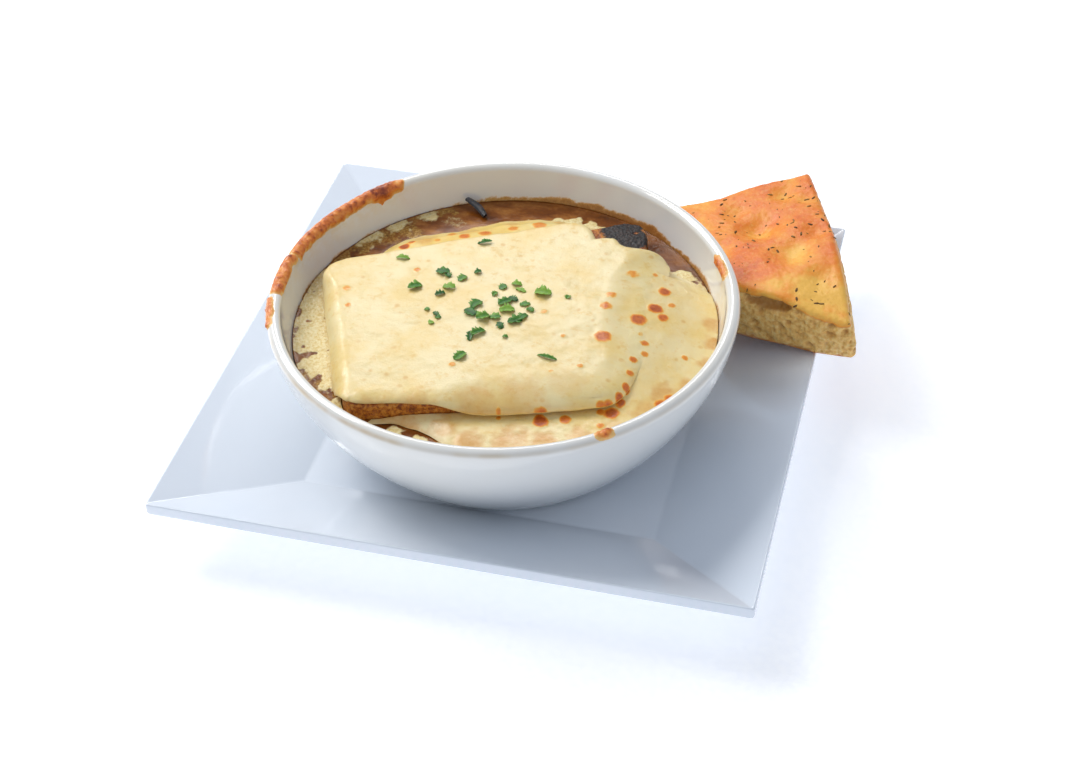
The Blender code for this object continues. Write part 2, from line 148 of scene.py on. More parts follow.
def topMasks(shape, rows, **fields):
    # masks that are zero away from the upper surface
    masks = {}
    for key, values in fields.items():
        whole = np.zeros(shape)
        whole[rows] = values
        masks[key] = whole
    return masks


def patchShell(top, bottom):
    # a closed skin between two grids of points of the same shape
    rows, cols = top.shape[:2]
    points = np.concatenate([top.reshape(-1, 3), bottom.reshape(-1, 3)])
    number = np.arange(rows * cols).reshape(rows, cols)
    under = number + rows * cols
    quads = [np.stack([number[:-1, :-1], number[:-1, 1:], number[1:, 1:], number[1:, :-1]], -1).reshape(-1, 4),
             np.stack([under[:-1, :-1], under[1:, :-1], under[1:, 1:], under[:-1, 1:]], -1).reshape(-1, 4)]
    rim = np.concatenate([number[0, :], number[1:, -1], number[-1, -2::-1], number[-2:0:-1, 0]])
    after = np.roll(rim, -1)
    quads.append(np.stack([after, rim, rim + rows * cols, after + rows * cols], -1))
    return points, np.concatenate(quads).tolist()


def addPiece(name, points, faces, material, masks=None):
    mesh = bpy.data.meshes.new(name)
    mesh.from_pydata((np.asarray(points) * mm).tolist(), [], faces)
    mesh.shade_smooth()
    for key, values in (masks or {}).items():
        layer = mesh.attributes.new(key, "FLOAT", "POINT")
        layer.data.foreach_set("value", np.asarray(values, dtype=np.float32).reshape(-1))
    mesh.materials.append(material)
    piece = bpy.data.objects.new(name, mesh)
    scene.collection.objects.link(piece)
    return piece


def turnOutward(piece):
    work = bmesh.new()
    work.from_mesh(piece.data)
    bmesh.ops.recalc_face_normals(work, faces=work.faces[:])
    work.to_mesh(piece.data)
    work.free()


def takePlace(piece, slotName, *nodes):
    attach(piece, "root")
    if nodes:
        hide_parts(*nodes)


# material helpers

def srgb(r, g, b):
    return tuple(((c / 255.0 + 0.055) / 1.055) ** 2.4 for c in (r, g, b)) + (1.0,)


def startMaterial(name, **settings):
    material = bpy.data.materials.new(name)
    material.use_nodes = True
    shader = material.node_tree.nodes["Principled BSDF"]
    for key, value in settings.items():
        shader.inputs[key].default_value = value
    return material, material.node_tree, shader


def addNode(tree, kind, inputs=None, **settings):
    node = tree.nodes.new(kind)
    for key, value in settings.items():
        setattr(node, key, value)
    for key, value in (inputs or {}).items():
        if isinstance(value, bpy.types.NodeSocket):
            tree.links.new(value, node.inputs[key])
        else:
            node.inputs[key].default_value = value
    return node


def mathNode(tree, operation, a, b=0.5):
    return addNode(tree, "ShaderNodeMath", {0: a, 1: b}, operation=operation).outputs[0]


def objectPlace(tree):
    return addNode(tree, "ShaderNodeTexCoord").outputs["Object"]


def noiseNode(tree, place, scale, detail=3.0, roughness=0.55, stretch=None):
    if stretch:
        place = addNode(tree, "ShaderNodeMapping", {"Vector": place, "Scale": stretch}).outputs[0]
    return addNode(tree, "ShaderNodeTexNoise", {"Vector": place, "Scale": scale, "Detail": detail,
                                                "Roughness": roughness}).outputs["Fac"]


def cellNode(tree, place, scale):
    return addNode(tree, "ShaderNodeTexVoronoi", {"Vector": place, "Scale": scale}).outputs["Distance"]


def maskNode(tree, name):
    return addNode(tree, "ShaderNodeAttribute", attribute_name=name).outputs["Fac"]


def rangeNode(tree, value, low, high, toLow=0.0, toHigh=1.0):
    return addNode(tree, "ShaderNodeMapRange", {"Value": value, "From Min": low, "From Max": high,
                                                "To Min": toLow, "To Max": toHigh},
                   interpolation_type="SMOOTHSTEP").outputs[0]


def raggedNode(tree, mask, noise, amount):
    # a mask whose edge is broken up by a noise round 0.5
    return mathNode(tree, "ADD", mask, mathNode(tree, "MULTIPLY", mathNode(tree, "SUBTRACT", noise, 0.5), amount))


def rampNode(tree, value, stops):
    node = addNode(tree, "ShaderNodeValToRGB", {"Fac": value})
    ramp = node.color_ramp
    while len(ramp.elements) < len(stops):
        ramp.elements.new(0.5)
    for element, (place, *color) in zip(ramp.elements, stops):
        element.position = place
        element.color = srgb(*color)
    return node.outputs["Color"]


def mixNode(tree, share, a, b):
    node = addNode(tree, "ShaderNodeMix", data_type="RGBA")
    for key, value in (("Factor_Float", share), ("A_Color", a), ("B_Color", b)):
        socket = next(s for s in node.inputs if s.identifier == key)
        if isinstance(value, bpy.types.NodeSocket):
            tree.links.new(value, socket)
        else:
            socket.default_value = srgb(*value) if isinstance(value, tuple) else value
    return next(s for s in node.outputs if s.identifier == "Result_Color")


def bumpNode(tree, height, strength, distance):
    return addNode(tree, "ShaderNodeBump", {"Height": height, "Strength": strength,
                                            "Distance": distance}).outputs["Normal"]


def finish(tree, shader, **sockets):
    for key, value in sockets.items():
        tree.links.new(value, shader.inputs[key.replace("_", " ")])


# stage: camera, lights, floor

cameraView = {"place": (0.17092, -0.58556, 0.53569), "yaw": -15.6126, "pitch": 40.9395, "roll": -1.6824,
              "lens": 66.13}
lighting = {"keyFrom": (-0.90, 0.42, 1.02), "keyDistance": 1.25, "keySize": 0.62, "keyPower": 10.0,
            "keyColor": (1.0, 0.975, 0.94),
            "backFrom": (-0.30, 0.95, 0.85), "backDistance": 1.1, "backSize": 0.35, "backPower": 2.0,
            "skyLow": (240, 243, 248), "skyHigh": (212, 219, 230), "skyStrength": 0.64, "floorGlow": 0.40}
floorHalf = 3000.0
floorLevel = -0.3


def addCamera():
    yaw, pitch, roll = (math.radians(cameraView[k]) for k in ("yaw", "pitch", "roll"))
    ahead = Vector((math.sin(yaw) * math.cos(pitch), math.cos(yaw) * math.cos(pitch), -math.sin(pitch)))
    side = Vector((math.cos(yaw), -math.sin(yaw), 0.0))
    over = side.cross(ahead)
    right = side * math.cos(roll) + over * math.sin(roll)
    up = over * math.cos(roll) - side * math.sin(roll)
    turn = Matrix((right, up, -ahead)).transposed().to_4x4()
    data = bpy.data.cameras.new("camera")
    data.sensor_width = 36.0
    data.lens = cameraView["lens"]
    data.clip_start = 0.01
    camera = bpy.data.objects.new("camera", data)
    camera.matrix_world = Matrix.Translation(cameraView["place"]) @ turn
    scene.collection.objects.link(camera)
    scene.camera = camera


def addLight(name, come, distance, size, power, color):
    data = bpy.data.lights.new(name, "AREA")
    data.shape = "SQUARE"
    data.size = size
    data.energy = power
    data.color = color
    heading = Vector(come).normalized()
    light = bpy.data.objects.new(name, data)
    light.location = heading * distance + Vector((0.0, 0.0, 0.03))
    light.rotation_euler = heading.to_track_quat("Z", "Y").to_euler()
    scene.collection.objects.link(light)


def addSky():
    world = bpy.data.worlds.new("sky")
    world.use_nodes = True
    tree = world.node_tree
    place = addNode(tree, "ShaderNodeTexCoord").outputs["Generated"]
    height = addNode(tree, "ShaderNodeSeparateXYZ", {"Vector": place}).outputs["Z"]
    color = rampNode(tree, height, [(0.0, *lighting["skyLow"]), (0.75, *lighting["skyHigh"])])
    backdrop = tree.nodes["Background"]
    tree.links.new(color, backdrop.inputs["Color"])
    backdrop.inputs["Strength"].default_value = lighting["skyStrength"]
    scene.world = world


def addFloor():
    material, tree, shader = startMaterial("floorPaper", Roughness=0.9)
    grain = noiseNode(tree, objectPlace(tree), 400.0, 2.0)
    color = mixNode(tree, rangeNode(tree, grain, 0.3, 0.7), (241, 243, 248), (247, 248, 250))
    finish(tree, shader, Base_Color=color, Emission_Color=color)
    shader.inputs["Emission Strength"].default_value = lighting["floorGlow"]
    corners = [(sx * floorHalf, sy * floorHalf, floorLevel) for sx, sy in ((-1, -1), (1, -1), (1, 1), (-1, 1))]
    addPiece("floor", corners, [[0, 1, 2, 3]], material)


addCamera()
addLight("keyLight", lighting["keyFrom"], lighting["keyDistance"], lighting["keySize"], lighting["keyPower"],
         lighting["keyColor"])
addLight("backLight", lighting["backFrom"], lighting["backDistance"], lighting["backSize"],
         lighting["backPower"], (1.0, 1.0, 1.0))
addSky()
addFloor()
scene.view_settings.view_transform = "Standard"
print("stage ready")


# plate

plate = {"side": 228.6, "height": 25.4, "rim": 5.4, "well": 139.0, "wellHeight": 5.5, "base": 131.0,
         "crease": 0.9, "creaseSteps": 3}


def glazeMaterial(name, tone, shade, roughness):
    material, tree, shader = startMaterial(name, **{"Coat Weight": 0.5, "Coat Roughness": 0.04})
    place = objectPlace(tree)
    cloud = noiseNode(tree, place, 14.0, 3.0)
    color = mixNode(tree, rangeNode(tree, cloud, 0.35, 0.7), tone, shade)
    smear = noiseNode(tree, place, 60.0, 4.0)
    finish(tree, shader, Base_Color=color,
           Roughness=rangeNode(tree, smear, 0.3, 0.75, roughness, roughness + 0.07),
           Normal=bumpNode(tree, noiseNode(tree, place, 35.0, 2.0), 0.05, 0.0008))
    return material, tree, shader, color


def makePlate():
    material = glazeMaterial("plateGlaze", (233, 240, 250), (226, 235, 247), 0.10)[0]
    low = plate["height"] - plate["rim"]
    loops = ((plate["base"], 0.0), (plate["side"], low), (plate["side"], plate["height"]),
             (plate["well"], plate["wellHeight"]))
    work = bmesh.new()
    rows = [[work.verts.new((sx * side / 2 * mm, sy * side / 2 * mm, z * mm))
             for sx, sy in ((-1, -1), (1, -1), (1, 1), (-1, 1))] for side, z in loops]
    for a, b in zip(rows, rows[1:]):
        for i in range(4):
            j = (i + 1) % 4
            work.faces.new((a[i], a[j], b[j], b[i]))
    work.faces.new(rows[0][::-1])
    work.faces.new(rows[-1])
    bmesh.ops.bevel(work, geom=work.edges[:], offset=plate["crease"] * mm, segments=plate["creaseSteps"],
                    profile=0.5, affect="EDGES", clamp_overlap=True)
    mesh = bpy.data.meshes.new("squarePlate")
    work.to_mesh(mesh)
    work.free()
    mesh.shade_smooth()
    mesh.materials.append(material)
    piece = bpy.data.objects.new("squarePlate", mesh)
    scene.collection.objects.link(piece)
    weighted = piece.modifiers.new("even shading", "WEIGHTED_NORMAL")
    weighted.weight = 90
    takePlace(piece, "plate_glaze", "plate")


makePlate()
print("plate ready")


# bowl; from here on x and y are measured from the bowl's axis

bowl = {"axis": (-2.8, -12.2), "diameter": 181.6, "height": 60.1, "foot": 114.8, "flare": 1.77, "wall": 5.2,
        "floor": 7.0, "footRing": 6.0, "recess": 2.0, "base": 5.8, "segments": 288, "wallRows": 44,
        "lipRows": 14}


def onAxis(points):
    return points + np.array((bowl["axis"][0], bowl["axis"][1], 0.0))


def makeRingPiece(name, rings, material, masks, slotName, nodeName):
    points, faces = ringShell(rings)
    masks = {key: ringMask(values) for key, values in masks.items()}
    takePlace(addPiece(name, onAxis(points), faces, material, masks), slotName, nodeName)


def outerRadius(height):
    t = np.clip(height / bowl["height"], 0.0, 1.0)
    foot = bowl["foot"] / 2
    return foot + (bowl["diameter"] / 2 - foot) * (1.0 - (1.0 - t) ** bowl["flare"])


def innerRadius(z):
    return outerRadius(z - bowl["base"]) - bowl["wall"]


def bowlProfile():
    # (radius, height above the bowl's base) rows: underside, outer wall, lip, inner wall, floor
    foot = bowl["foot"] / 2
    ring = foot - bowl["footRing"]
    under = [(ring - 30.0, bowl["recess"]), (ring - 1.5, bowl["recess"]), (ring - 0.8, 0.9), (ring, 0.15),
             (ring + 0.6, 0.0), (foot - 1.0, 0.0), (foot - 0.3, 0.3)]
    lip = bowl["wall"] / 2
    shoulder = bowl["height"] - lip
    outside = [(outerRadius(h), h) for h in 1.0 + (shoulder - 1.0) * np.linspace(0.0, 1.0, bowl["wallRows"])]
    turn = np.linspace(0.0, math.pi, bowl["lipRows"] + 2)[1:-1]
    over = [(outerRadius(shoulder) - lip + lip * math.cos(a), shoulder + lip * math.sin(a)) for a in turn]
    corner = bowl["floor"] + 5.0
    inside = [(outerRadius(h) - bowl["wall"], h) for h in np.linspace(shoulder, corner, bowl["wallRows"])]
    last = inside[-1][0]
    floor = [(last - drop, bowl["floor"] + rise) for drop, rise in
             ((1.6, 3.0), (4.5, 1.3), (8.0, 0.3), (12.0, 0.0), (34.0, 0.0))]
    return under, outside, over, inside, floor


def makeBowl():
    under, outside, over, inside, floor = bowlProfile()
    profile = under + outside + over + inside + floor
    lipStart = len(under) + len(outside)
    angle = 2.0 * math.pi * np.arange(bowl["segments"]) / bowl["segments"]
    rings = np.stack([np.stack([r * np.cos(angle), r * np.sin(angle), np.full_like(angle, h + bowl["base"])], -1)
                      for r, h in profile])
    z = rings[..., 2]
    inner = np.zeros(z.shape)
    inner[lipStart + len(over) // 2:] = 1.0
    degrees = np.broadcast_to(np.degrees(angle), z.shape)
    signed = np.where(degrees > 180.0, degrees - 360.0, degrees)
    rag = layeredNoise(rings, 9.0, 3, 4, 0.6)
    # brown line left by the broth, highest at the back and right
    back = hump(70.0, 95.0, signed)
    lineTop = 50.8 + 2.1 * back + 2.2 * rag + 0.7 * hump(10.0, 40.0, signed)
    tide = inner * ease(lineTop + 1.0, lineTop - 1.2, z)
    tide = tide * (0.25 + 0.75 * np.maximum(back, hump(165.0, 40.0, degrees)))
    # cream film below the crust on the lip, and a pale stain on the right
    streaks = layeredNoise(rings * np.array((1.0, 1.0, 0.35)), 5.0, 9, 3)
    film = inner * hump(163.0, 48.0, degrees) * ease(51.0, 64.5, z) * (0.45 + 0.55 * ease(-0.4, 0.4, streaks))
    film = np.maximum(film, inner * 0.9 * hump(22.0, 9.0, signed) * ease(56.0, 63.0, z + 2.0 * rag))
    film = np.maximum(film, inner * 0.7 * hump(10.0, 22.0, signed) * ease(66.0, 56.0, z) * ease(-0.3, 0.3, rag))
    material, tree, shader, glaze = glazeMaterial("bowlGlaze", (240, 240, 236), (234, 236, 236), 0.09)
    place = objectPlace(tree)
    filmShare = mathNode(tree, "MULTIPLY", maskNode(tree, "film"),
                         rangeNode(tree, noiseNode(tree, place, 260.0, 4.0), 0.3, 0.62, 0.0, 0.62))
    color = mixNode(tree, filmShare, glaze, (231, 208, 158))
    ragged = raggedNode(tree, maskNode(tree, "tide"), noiseNode(tree, place, 700.0, 4.0, 0.7), 0.9)
    tideColor = rampNode(tree, ragged, [(0.22, 238, 208, 152), (0.6, 212, 158, 90),
                                        (1.0, 168, 110, 56)])
    color = mixNode(tree, rangeNode(tree, ragged, 0.16, 0.75), color, tideColor)
    # ochre edge where the glaze thins on the lip
    edge = mathNode(tree, "MULTIPLY", maskNode(tree, "lipEdge"),
                    rangeNode(tree, noiseNode(tree, place, 45.0, 3.0), 0.35, 0.6, 0.25, 0.8))
    color = mixNode(tree, edge, color, (205, 178, 128))
    tree.links.new(color, shader.inputs["Base Color"])
    rows = np.arange(len(profile))[:, None]
    lipEdge = 0.9 * hump(lipStart + 1.5, 3.0, rows) * (0.35 + 0.65 * hump(-115.0, 90.0, signed))
    lipEdge = np.maximum(lipEdge, 0.16 * hump(lipStart + 6.0, 10.0, rows) * np.ones(z.shape))
    makeRingPiece("soupBowl", rings, material, {"tide": tide, "film": film, "lipEdge": lipEdge},
                  "bowl_glaze", "bowl")


makeBowl()
print("bowl ready")


# the toast's outline carries everything that lies on the broth

toast = {
    "corners": ((-43, -67), (53.5, -39), (43, 71.5), (-75, 10)), "rounding": 11.0, "top": 57.2,
    "bottom": 43.7, "points": 720}


def roundedOutline(corners, rounding, count):
    corners = [Vector(c) for c in corners]
    path = []
    for k, corner in enumerate(corners):
        before = (corners[k - 1] - corner).normalized()
        after = (corners[(k + 1) % len(corners)] - corner).normalized()
        reach = rounding / math.tan(before.angle(after) / 2)
        start, end = corner + before * reach, corner + after * reach
        for step in range(25):
            t = step / 24
            path.append(tuple(start.lerp(corner, t).lerp(corner.lerp(end, t), t)))
    path = np.array(path)
    loop = np.concatenate([path, path[:1]])
    lengths = np.concatenate([[0.0], np.cumsum(np.linalg.norm(np.diff(loop, axis=0), axis=1))])
    wanted = lengths[-1] * np.arange(count) / count
    return np.stack([np.interp(wanted, lengths, loop[:, k]) for k in (0, 1)], -1)


def placeOnToast(points):
    # 0-1 along the front, 1-2 the right side, 2-3 the back, 3-4 the left side
    corners = np.array(toast["corners"])
    distances, places = [], []
    for k in range(4):
        side = corners[(k + 1) % 4] - corners[k]
        t = np.clip(((points - corners[k]) @ side) / (side @ side), 0.0, 1.0)
        distances.append(np.linalg.norm(corners[k] + t[:, None] * side - points, axis=1))
        places.append(k + t)
    return np.choose(np.argmin(distances, axis=0), places) % 4.0


edgePoint = roundedOutline(toast["corners"], toast["rounding"], toast["points"])
edgeAlong = np.roll(edgePoint, -1, axis=0) - np.roll(edgePoint, 1, axis=0)
edgeNormal = np.stack([edgeAlong[:, 1], -edgeAlong[:, 0]], -1) / np.linalg.norm(edgeAlong, axis=1)[:, None]
edgePlace = placeOnToast(edgePoint)
toastMiddle = np.array(toast["corners"]).mean(axis=0)
edgeHeading = edgePoint - toastMiddle
middleReach = np.linalg.norm(edgeHeading, axis=1)
edgeHeading = edgeHeading / middleReach[:, None]
edgeStretch = 1.0 / np.maximum((edgeHeading * edgeNormal).sum(axis=1), 0.72)
everyPoint = np.arange(toast["points"])


def edgeLine(reach, who=everyPoint):
    # spots that far outside the toast's edge, on lines from its middle
    return edgePoint[who] + edgeHeading[who] * (reach * edgeStretch[who])[..., None]


def towardsMiddle(xy, share):
    return xy + (toastMiddle - xy) * share


def wallReach(z, clearance=0.45):
    # how far out the bowl's wall is along each line
    radius = innerRadius(z) - clearance
    start = edgeHeading @ toastMiddle
    reach = np.sqrt(start ** 2 + radius ** 2 - toastMiddle @ toastMiddle) - start
    return (reach - middleReach) / edgeStretch


rightSide = ease(1.0, 1.35, edgePlace) * (1.0 - ease(1.66, 1.84, edgePlace))
charCorner = hump(2.0, 0.27, edgePlace)
flowWall = wallReach(51.5)


def crownHeight(xy):
    # the slice over the toast: nearly flat, with slow waves
    away = np.hypot(xy[..., 0], xy[..., 1]) / 80.0
    waves = 0.42 * softNoise(flat3(xy), 27.0, 5) + 0.16 * softNoise(flat3(xy), 9.0, 6)
    return 60.15 + 0.9 * (1.0 - away ** 2) + waves


def flowHeight(reach, xy, who=everyPoint):
    # melted side: eases down from the slice to the bowl's wall
    inside = 12.0
    u = np.clip((reach + inside) / (flowWall[who] + inside), 0.0, 1.0)
    side = 52.2 + 8.0 * (1.0 - u) ** 1.5 * (1.0 + 1.5 * u)
    front = 51.9 + 0.9 * (1.0 - u)
    height = mix(front, side, ease(0.92, 1.22, edgePlace[who]))
    lumps = 0.22 * softNoise(flat3(xy), 12.0, 31) + 0.16 * layeredNoise(flat3(xy), 4.5, 32, 2)
    return height + lumps * (0.5 + 0.5 * u)


# broth: everything up to the level shown, with room for the toast

broth = {
    "level": 50.3, "surfaceRows": 58, "pocketGap": 0.45, "floor": 13.1,
    "foam": (
        (-68, -22, 15, 1), (-74, -4, 13, 1), (-60, -38, 11, 1), (-78, 10, 10, 0.8), (-54, -48, 6, 0.75),
        (-48, -58, 4.5, 0.7), (-44, -63, 3.5, 0.8), (-70, 43, 8, 0.6), (-61, 54, 7, 0.65), (-50, 64, 6, 0.55),
        (-38, 60, 6, 0.3), (5, 69, 4.5, 0.75), (11, 71, 4, 0.8), (17.5, 70, 4, 0.8), (23, 67.5, 4, 0.7),
        (-6, 66, 4, 0.6), (-16, 63, 4.5, 0.6), (60, 43, 7, 0.8), (67, 35, 8, 0.9), (73, 27, 7, 0.9),
        (78, 16, 7, 0.8), (82, 4, 6, 0.9), (83, -6, 5, 0.9), (-23, -70, 5, 0.7), (-13, -72, 4, 0.8),
        (-4, -73, 4, 0.8), (4, -73, 4, 0.7)),
    "ochre": (
        (-78, 27, 8, 1), (-72, 37, 8, 1), (-62, 44, 8, 0.9), (-54, 50, 7, 0.9), (-66, 52, 6, 0.8),
        (-56, 62, 6, 0.8), (-44, 68, 6, 0.7), (-80, 15, 7, 0.8), (-58, -50, 5, 0.7), (-66, -48, 5, 0.8),
        (-52, -57, 5, 0.8), (-36, -72, 8, 0.6), (75, 24, 6, 0.8), (80, 12, 6, 0.9), (84, 0, 6, 1))}


def brothMaterial():
    material, tree, shader = startMaterial("brownBroth", **{"Specular IOR Level": 0.22, "Coat Weight": 0.08,
                                                            "Coat Roughness": 0.08})
    place = objectPlace(tree)
    swirl = noiseNode(tree, place, 85.0, 5.0, 0.62, (1.0, 1.7, 1.0))
    color = rampNode(tree, swirl, [(0.25, 78, 36, 6), (0.5, 124, 68, 20), (0.72, 176, 116, 54)])
    speckle = noiseNode(tree, place, 900.0, 3.0, 0.7)
    ochreMask = raggedNode(tree, maskNode(tree, "ochre"), noiseNode(tree, place, 320.0, 4.0, 0.7), 1.1)
    ochreColor = rampNode(tree, speckle, [(0.3, 104, 66, 22), (0.5, 160, 112, 44),
                                          (0.7, 208, 172, 96)])
    color = mixNode(tree, rangeNode(tree, ochreMask, 0.25, 0.75), color, ochreColor)
    foamMask = raggedNode(tree, maskNode(tree, "foam"), noiseNode(tree, place, 480.0, 4.0, 0.7), 0.8)
    foamColor = rampNode(tree, speckle, [(0.28, 212, 180, 108), (0.46, 234, 212, 148),
                                         (0.66, 248, 236, 190)])
    color = mixNode(tree, rangeNode(tree, foamMask, 0.22, 0.62), color, foamColor)
    shoreMask = mathNode(tree, "MULTIPLY", maskNode(tree, "shore"), rangeNode(tree, speckle, 0.35, 0.6, 0.35, 0.75))
    color = mixNode(tree, shoreMask, color, (158, 106, 44))
    finish(tree, shader, Base_Color=color, Normal=bumpNode(tree, speckle, 0.35, 0.0003),
           Roughness=rangeNode(tree, maskNode(tree, "foam"), 0.1, 0.7, 0.2, 0.30))
    return material


def makeBroth():
    gap = broth["pocketGap"]
    floor = broth["floor"]
    angle = np.arctan2(edgePoint[:, 1], edgePoint[:, 0])
    corner = innerRadius(floor + 4.7) - 0.6
    rings = [flat3(np.stack([radius * np.cos(angle), radius * np.sin(angle)], -1), z)
             for radius, z in ((corner - 40.0, floor), (corner - 11.0, floor), (corner - 4.5, floor + 1.7))]
    rings += [flat3(edgeLine(wallReach(z)), z) for z in np.linspace(floor + 4.9, broth["level"] + 0.45, 12)]
    first = len(rings)
    wall = wallReach(broth["level"])
    pocket = np.full_like(wall, gap)
    for share in np.linspace(0.0, 1.0, broth["surfaceRows"])[1:]:
        rings.append(flat3(edgeLine(mix(wall, pocket, share)), broth["level"]))
    top = slice(first, len(rings))
    pocketFloor = toast["bottom"] - gap
    rings += [flat3(edgeLine(pocket), z) for z in (48.0, 46.0, pocketFloor)]
    rings.append(flat3(towardsMiddle(edgeLine(pocket), 0.5), pocketFloor))
    rings = np.stack(rings)
    at = rings[top].copy()
    foam = spotField(at[..., :2], broth["foam"], 41, 0.5)
    foam = np.clip(foam * (1.1 + 0.35 * layeredNoise(at, 6.0, 42, 3, 0.6)), 0.0, 1.0)
    ochre = spotField(at[..., :2], broth["ochre"], 43, 0.6) * (0.75 + 0.5 * layeredNoise(at, 5.0, 44, 3, 0.6))
    ochre = np.clip(ochre, 0.0, 1.0)
    fromWall = np.linalg.norm(at[..., :2] - rings[first - 1, :, :2][None], axis=-1)
    bubbles = np.maximum(0.0, 0.55 - nearestSeed(at, 1.5, 45))
    bubbles = bubbles + 0.7 * np.maximum(0.0, 0.5 - nearestSeed(at, 0.9, 46))
    lift = 0.45 * np.exp(-fromWall / 0.9) + 0.10 * softNoise(at, 7.0, 47) + 0.05 * softNoise(at, 2.6, 48)
    rings[top, :, 2] += lift + foam * (0.28 + 0.55 * bubbles) + 0.25 * ochre * bubbles
    shore = np.exp(-fromWall / 1.6) * (0.6 + 0.6 * layeredNoise(at, 4.0, 49, 3))
    masks = topMasks(rings.shape[:2], top, foam=foam, ochre=ochre, shore=shore)
    makeRingPiece("brownBroth", rings, brothMaterial(), masks, "broth", "broth")


makeBroth()
print("broth ready")


# toast: crusty sides, charred at the back right corner

toastLook = {
    "grain": 0.55, "sideRows": 16, "topRows": 30, "cornerAt": (43.0, 71.5),
    "char": ((31.5, 61.5, 9, 1), (39, 55, 7.5, 1), (36, 64, 7, 1))}


def makeToast():
    bottom, top = toast["bottom"], toast["top"]
    rows = [(-30.0, bottom), (-1.5, bottom), (-0.45, bottom + 0.45)]
    rows += [(0.0, z) for z in np.linspace(bottom + 1.5, top - 1.4, toastLook["sideRows"])]
    rows += [(-0.35, top - 0.45), (-1.3, top)]
    rows += [(-1.3 - 26.0 * (k / toastLook["topRows"]) ** 1.2, top) for k in range(1, toastLook["topRows"] + 1)]
    rings = np.stack([flat3(edgeLine(np.full(toast["points"], reach)), z) for reach, z in rows])
    at = rings.copy()
    char = spotField(at[..., :2], toastLook["char"], 61)
    char = char * ease(51.5, 56.0, at[..., 2] + 0.8 * layeredNoise(at, 3.0, 62, 2))
    push = toastLook["grain"] * (layeredNoise(at, 3.2, 63, 3, 0.6) * 0.5 + (0.45 - nearestSeed(at, 1.7, 64)) * 0.9)
    outward = np.zeros_like(rings)
    outward[..., :2] = edgeNormal[None]
    side = ease(-3.0, 0.5, np.array([reach for reach, z in rows]))[:, None]
    above = 1.0 - 0.85 * ease(49.0, 46.0, at[..., 2])
    flat = ease(top - 2.2, top - 0.2, at[..., 2])
    rings = rings + outward * (np.minimum(push, 0.35) * side * above * (1.0 - flat))[..., None]
    cornerX, cornerY = toastLook["cornerAt"]
    bare = ease(20.0, 14.0, np.hypot(at[..., 0] - cornerX, at[..., 1] - cornerY))
    rings[..., 2] += flat * bare * (push * (0.35 + 0.9 * char) + 0.7 * char)
    material, tree, shader = startMaterial("toastedCrust", **{"Specular IOR Level": 0.45})
    place = objectPlace(tree)
    crumbs = noiseNode(tree, place, 520.0, 5.0, 0.7)
    color = rampNode(tree, crumbs, [(0.28, 96, 42, 12), (0.44, 164, 88, 26), (0.56, 212, 134, 46),
                                    (0.74, 226, 170, 84)])
    burnt = raggedNode(tree, maskNode(tree, "char"), crumbs, 1.4)
    burntColor = rampNode(tree, cellNode(tree, place, 900.0), [(0.1, 58, 32, 22), (0.5, 24, 14, 12),
                                                               (0.9, 8, 6, 8)])
    color = mixNode(tree, rangeNode(tree, burnt, 0.30, 0.62), color, burntColor)
    height = mathNode(tree, "ADD", crumbs, mathNode(tree, "MULTIPLY", cellNode(tree, place, 760.0), 0.7))
    finish(tree, shader, Base_Color=color, Roughness=rangeNode(tree, crumbs, 0.3, 0.7, 0.28, 0.6),
           Normal=bumpNode(tree, height, 0.8, 0.0006))
    makeRingPiece("toastSlice", rings, material, {"char": char}, "toast_crumb", "toast")


makeToast()
print("toast ready")


# cheese: each browned or tan spot is (x, y, radius, strength)

sliceShape = {
    "rollRows": 18, "innerRows": 62, "toastGap": 0.5, "underside": 57.5,
    "browned": (
        (39.2, 14.9, 2.4, 0.62), (38.5, 7.3, 2.9, 0.8), (42.1, -10.5, 4, 0.85), (51.9, 4.6, 3.7, 0.9),
        (56.9, 14, 3.3, 0.95), (60.5, 9.8, 2.6, 0.85), (57.8, 26.4, 3, 0.9), (62.1, 19, 2, 0.6),
        (44.1, 31.1, 2.9, 0.55), (51.9, 35.5, 1.6, 0.55), (57.3, -7.7, 2.1, 0.72), (58.5, -13.4, 2, 0.66),
        (37.3, -29, 1.6, 0.6), (27.5, -34.2, 1.3, 0.45), (27, -14, 1.5, 0.5), (16.4, -1.6, 1.8, 0.45),
        (13, -55.4, 1.3, 0.6), (-9.2, -39.2, 1.5, 0.55), (-38.9, 12.8, 1.8, 0.65), (-62.4, -3.7, 2.2, 0.5),
        (-58.6, -13.8, 1.8, 0.55), (54.4, -3.4, 1.6, 0.4), (55, -38.8, 1.5, 0.4), (55.5, -18.8, 1.9, 0.8),
        (55.5, -25.9, 1.8, 0.75), (55.6, -32.9, 2.2, 0.8), (54.9, -38.2, 2.4, 0.92), (52.3, -43.3, 3.3, 0.95),
        (48.5, -43.5, 2, 0.7), (28.4, -53.3, 3.6, 1), (36.7, -50.2, 2.6, 0.85), (49.9, -50.5, 1.8, 0.6),
        (70, -35.1, 3.6, 0.8), (72.8, -8.1, 1.8, 0.6), (72, -31, 3, 0.75)),
    "tan": (
        (70, -22, 8, 0.55), (66, -28, 9, 0.45), (20, -50, 12, 0.35), (6, -56, 10, 0.45), (-16, -66, 10, 0.5),
        (-30, -70, 9, 0.7), (34, -38, 9, 0.2))}


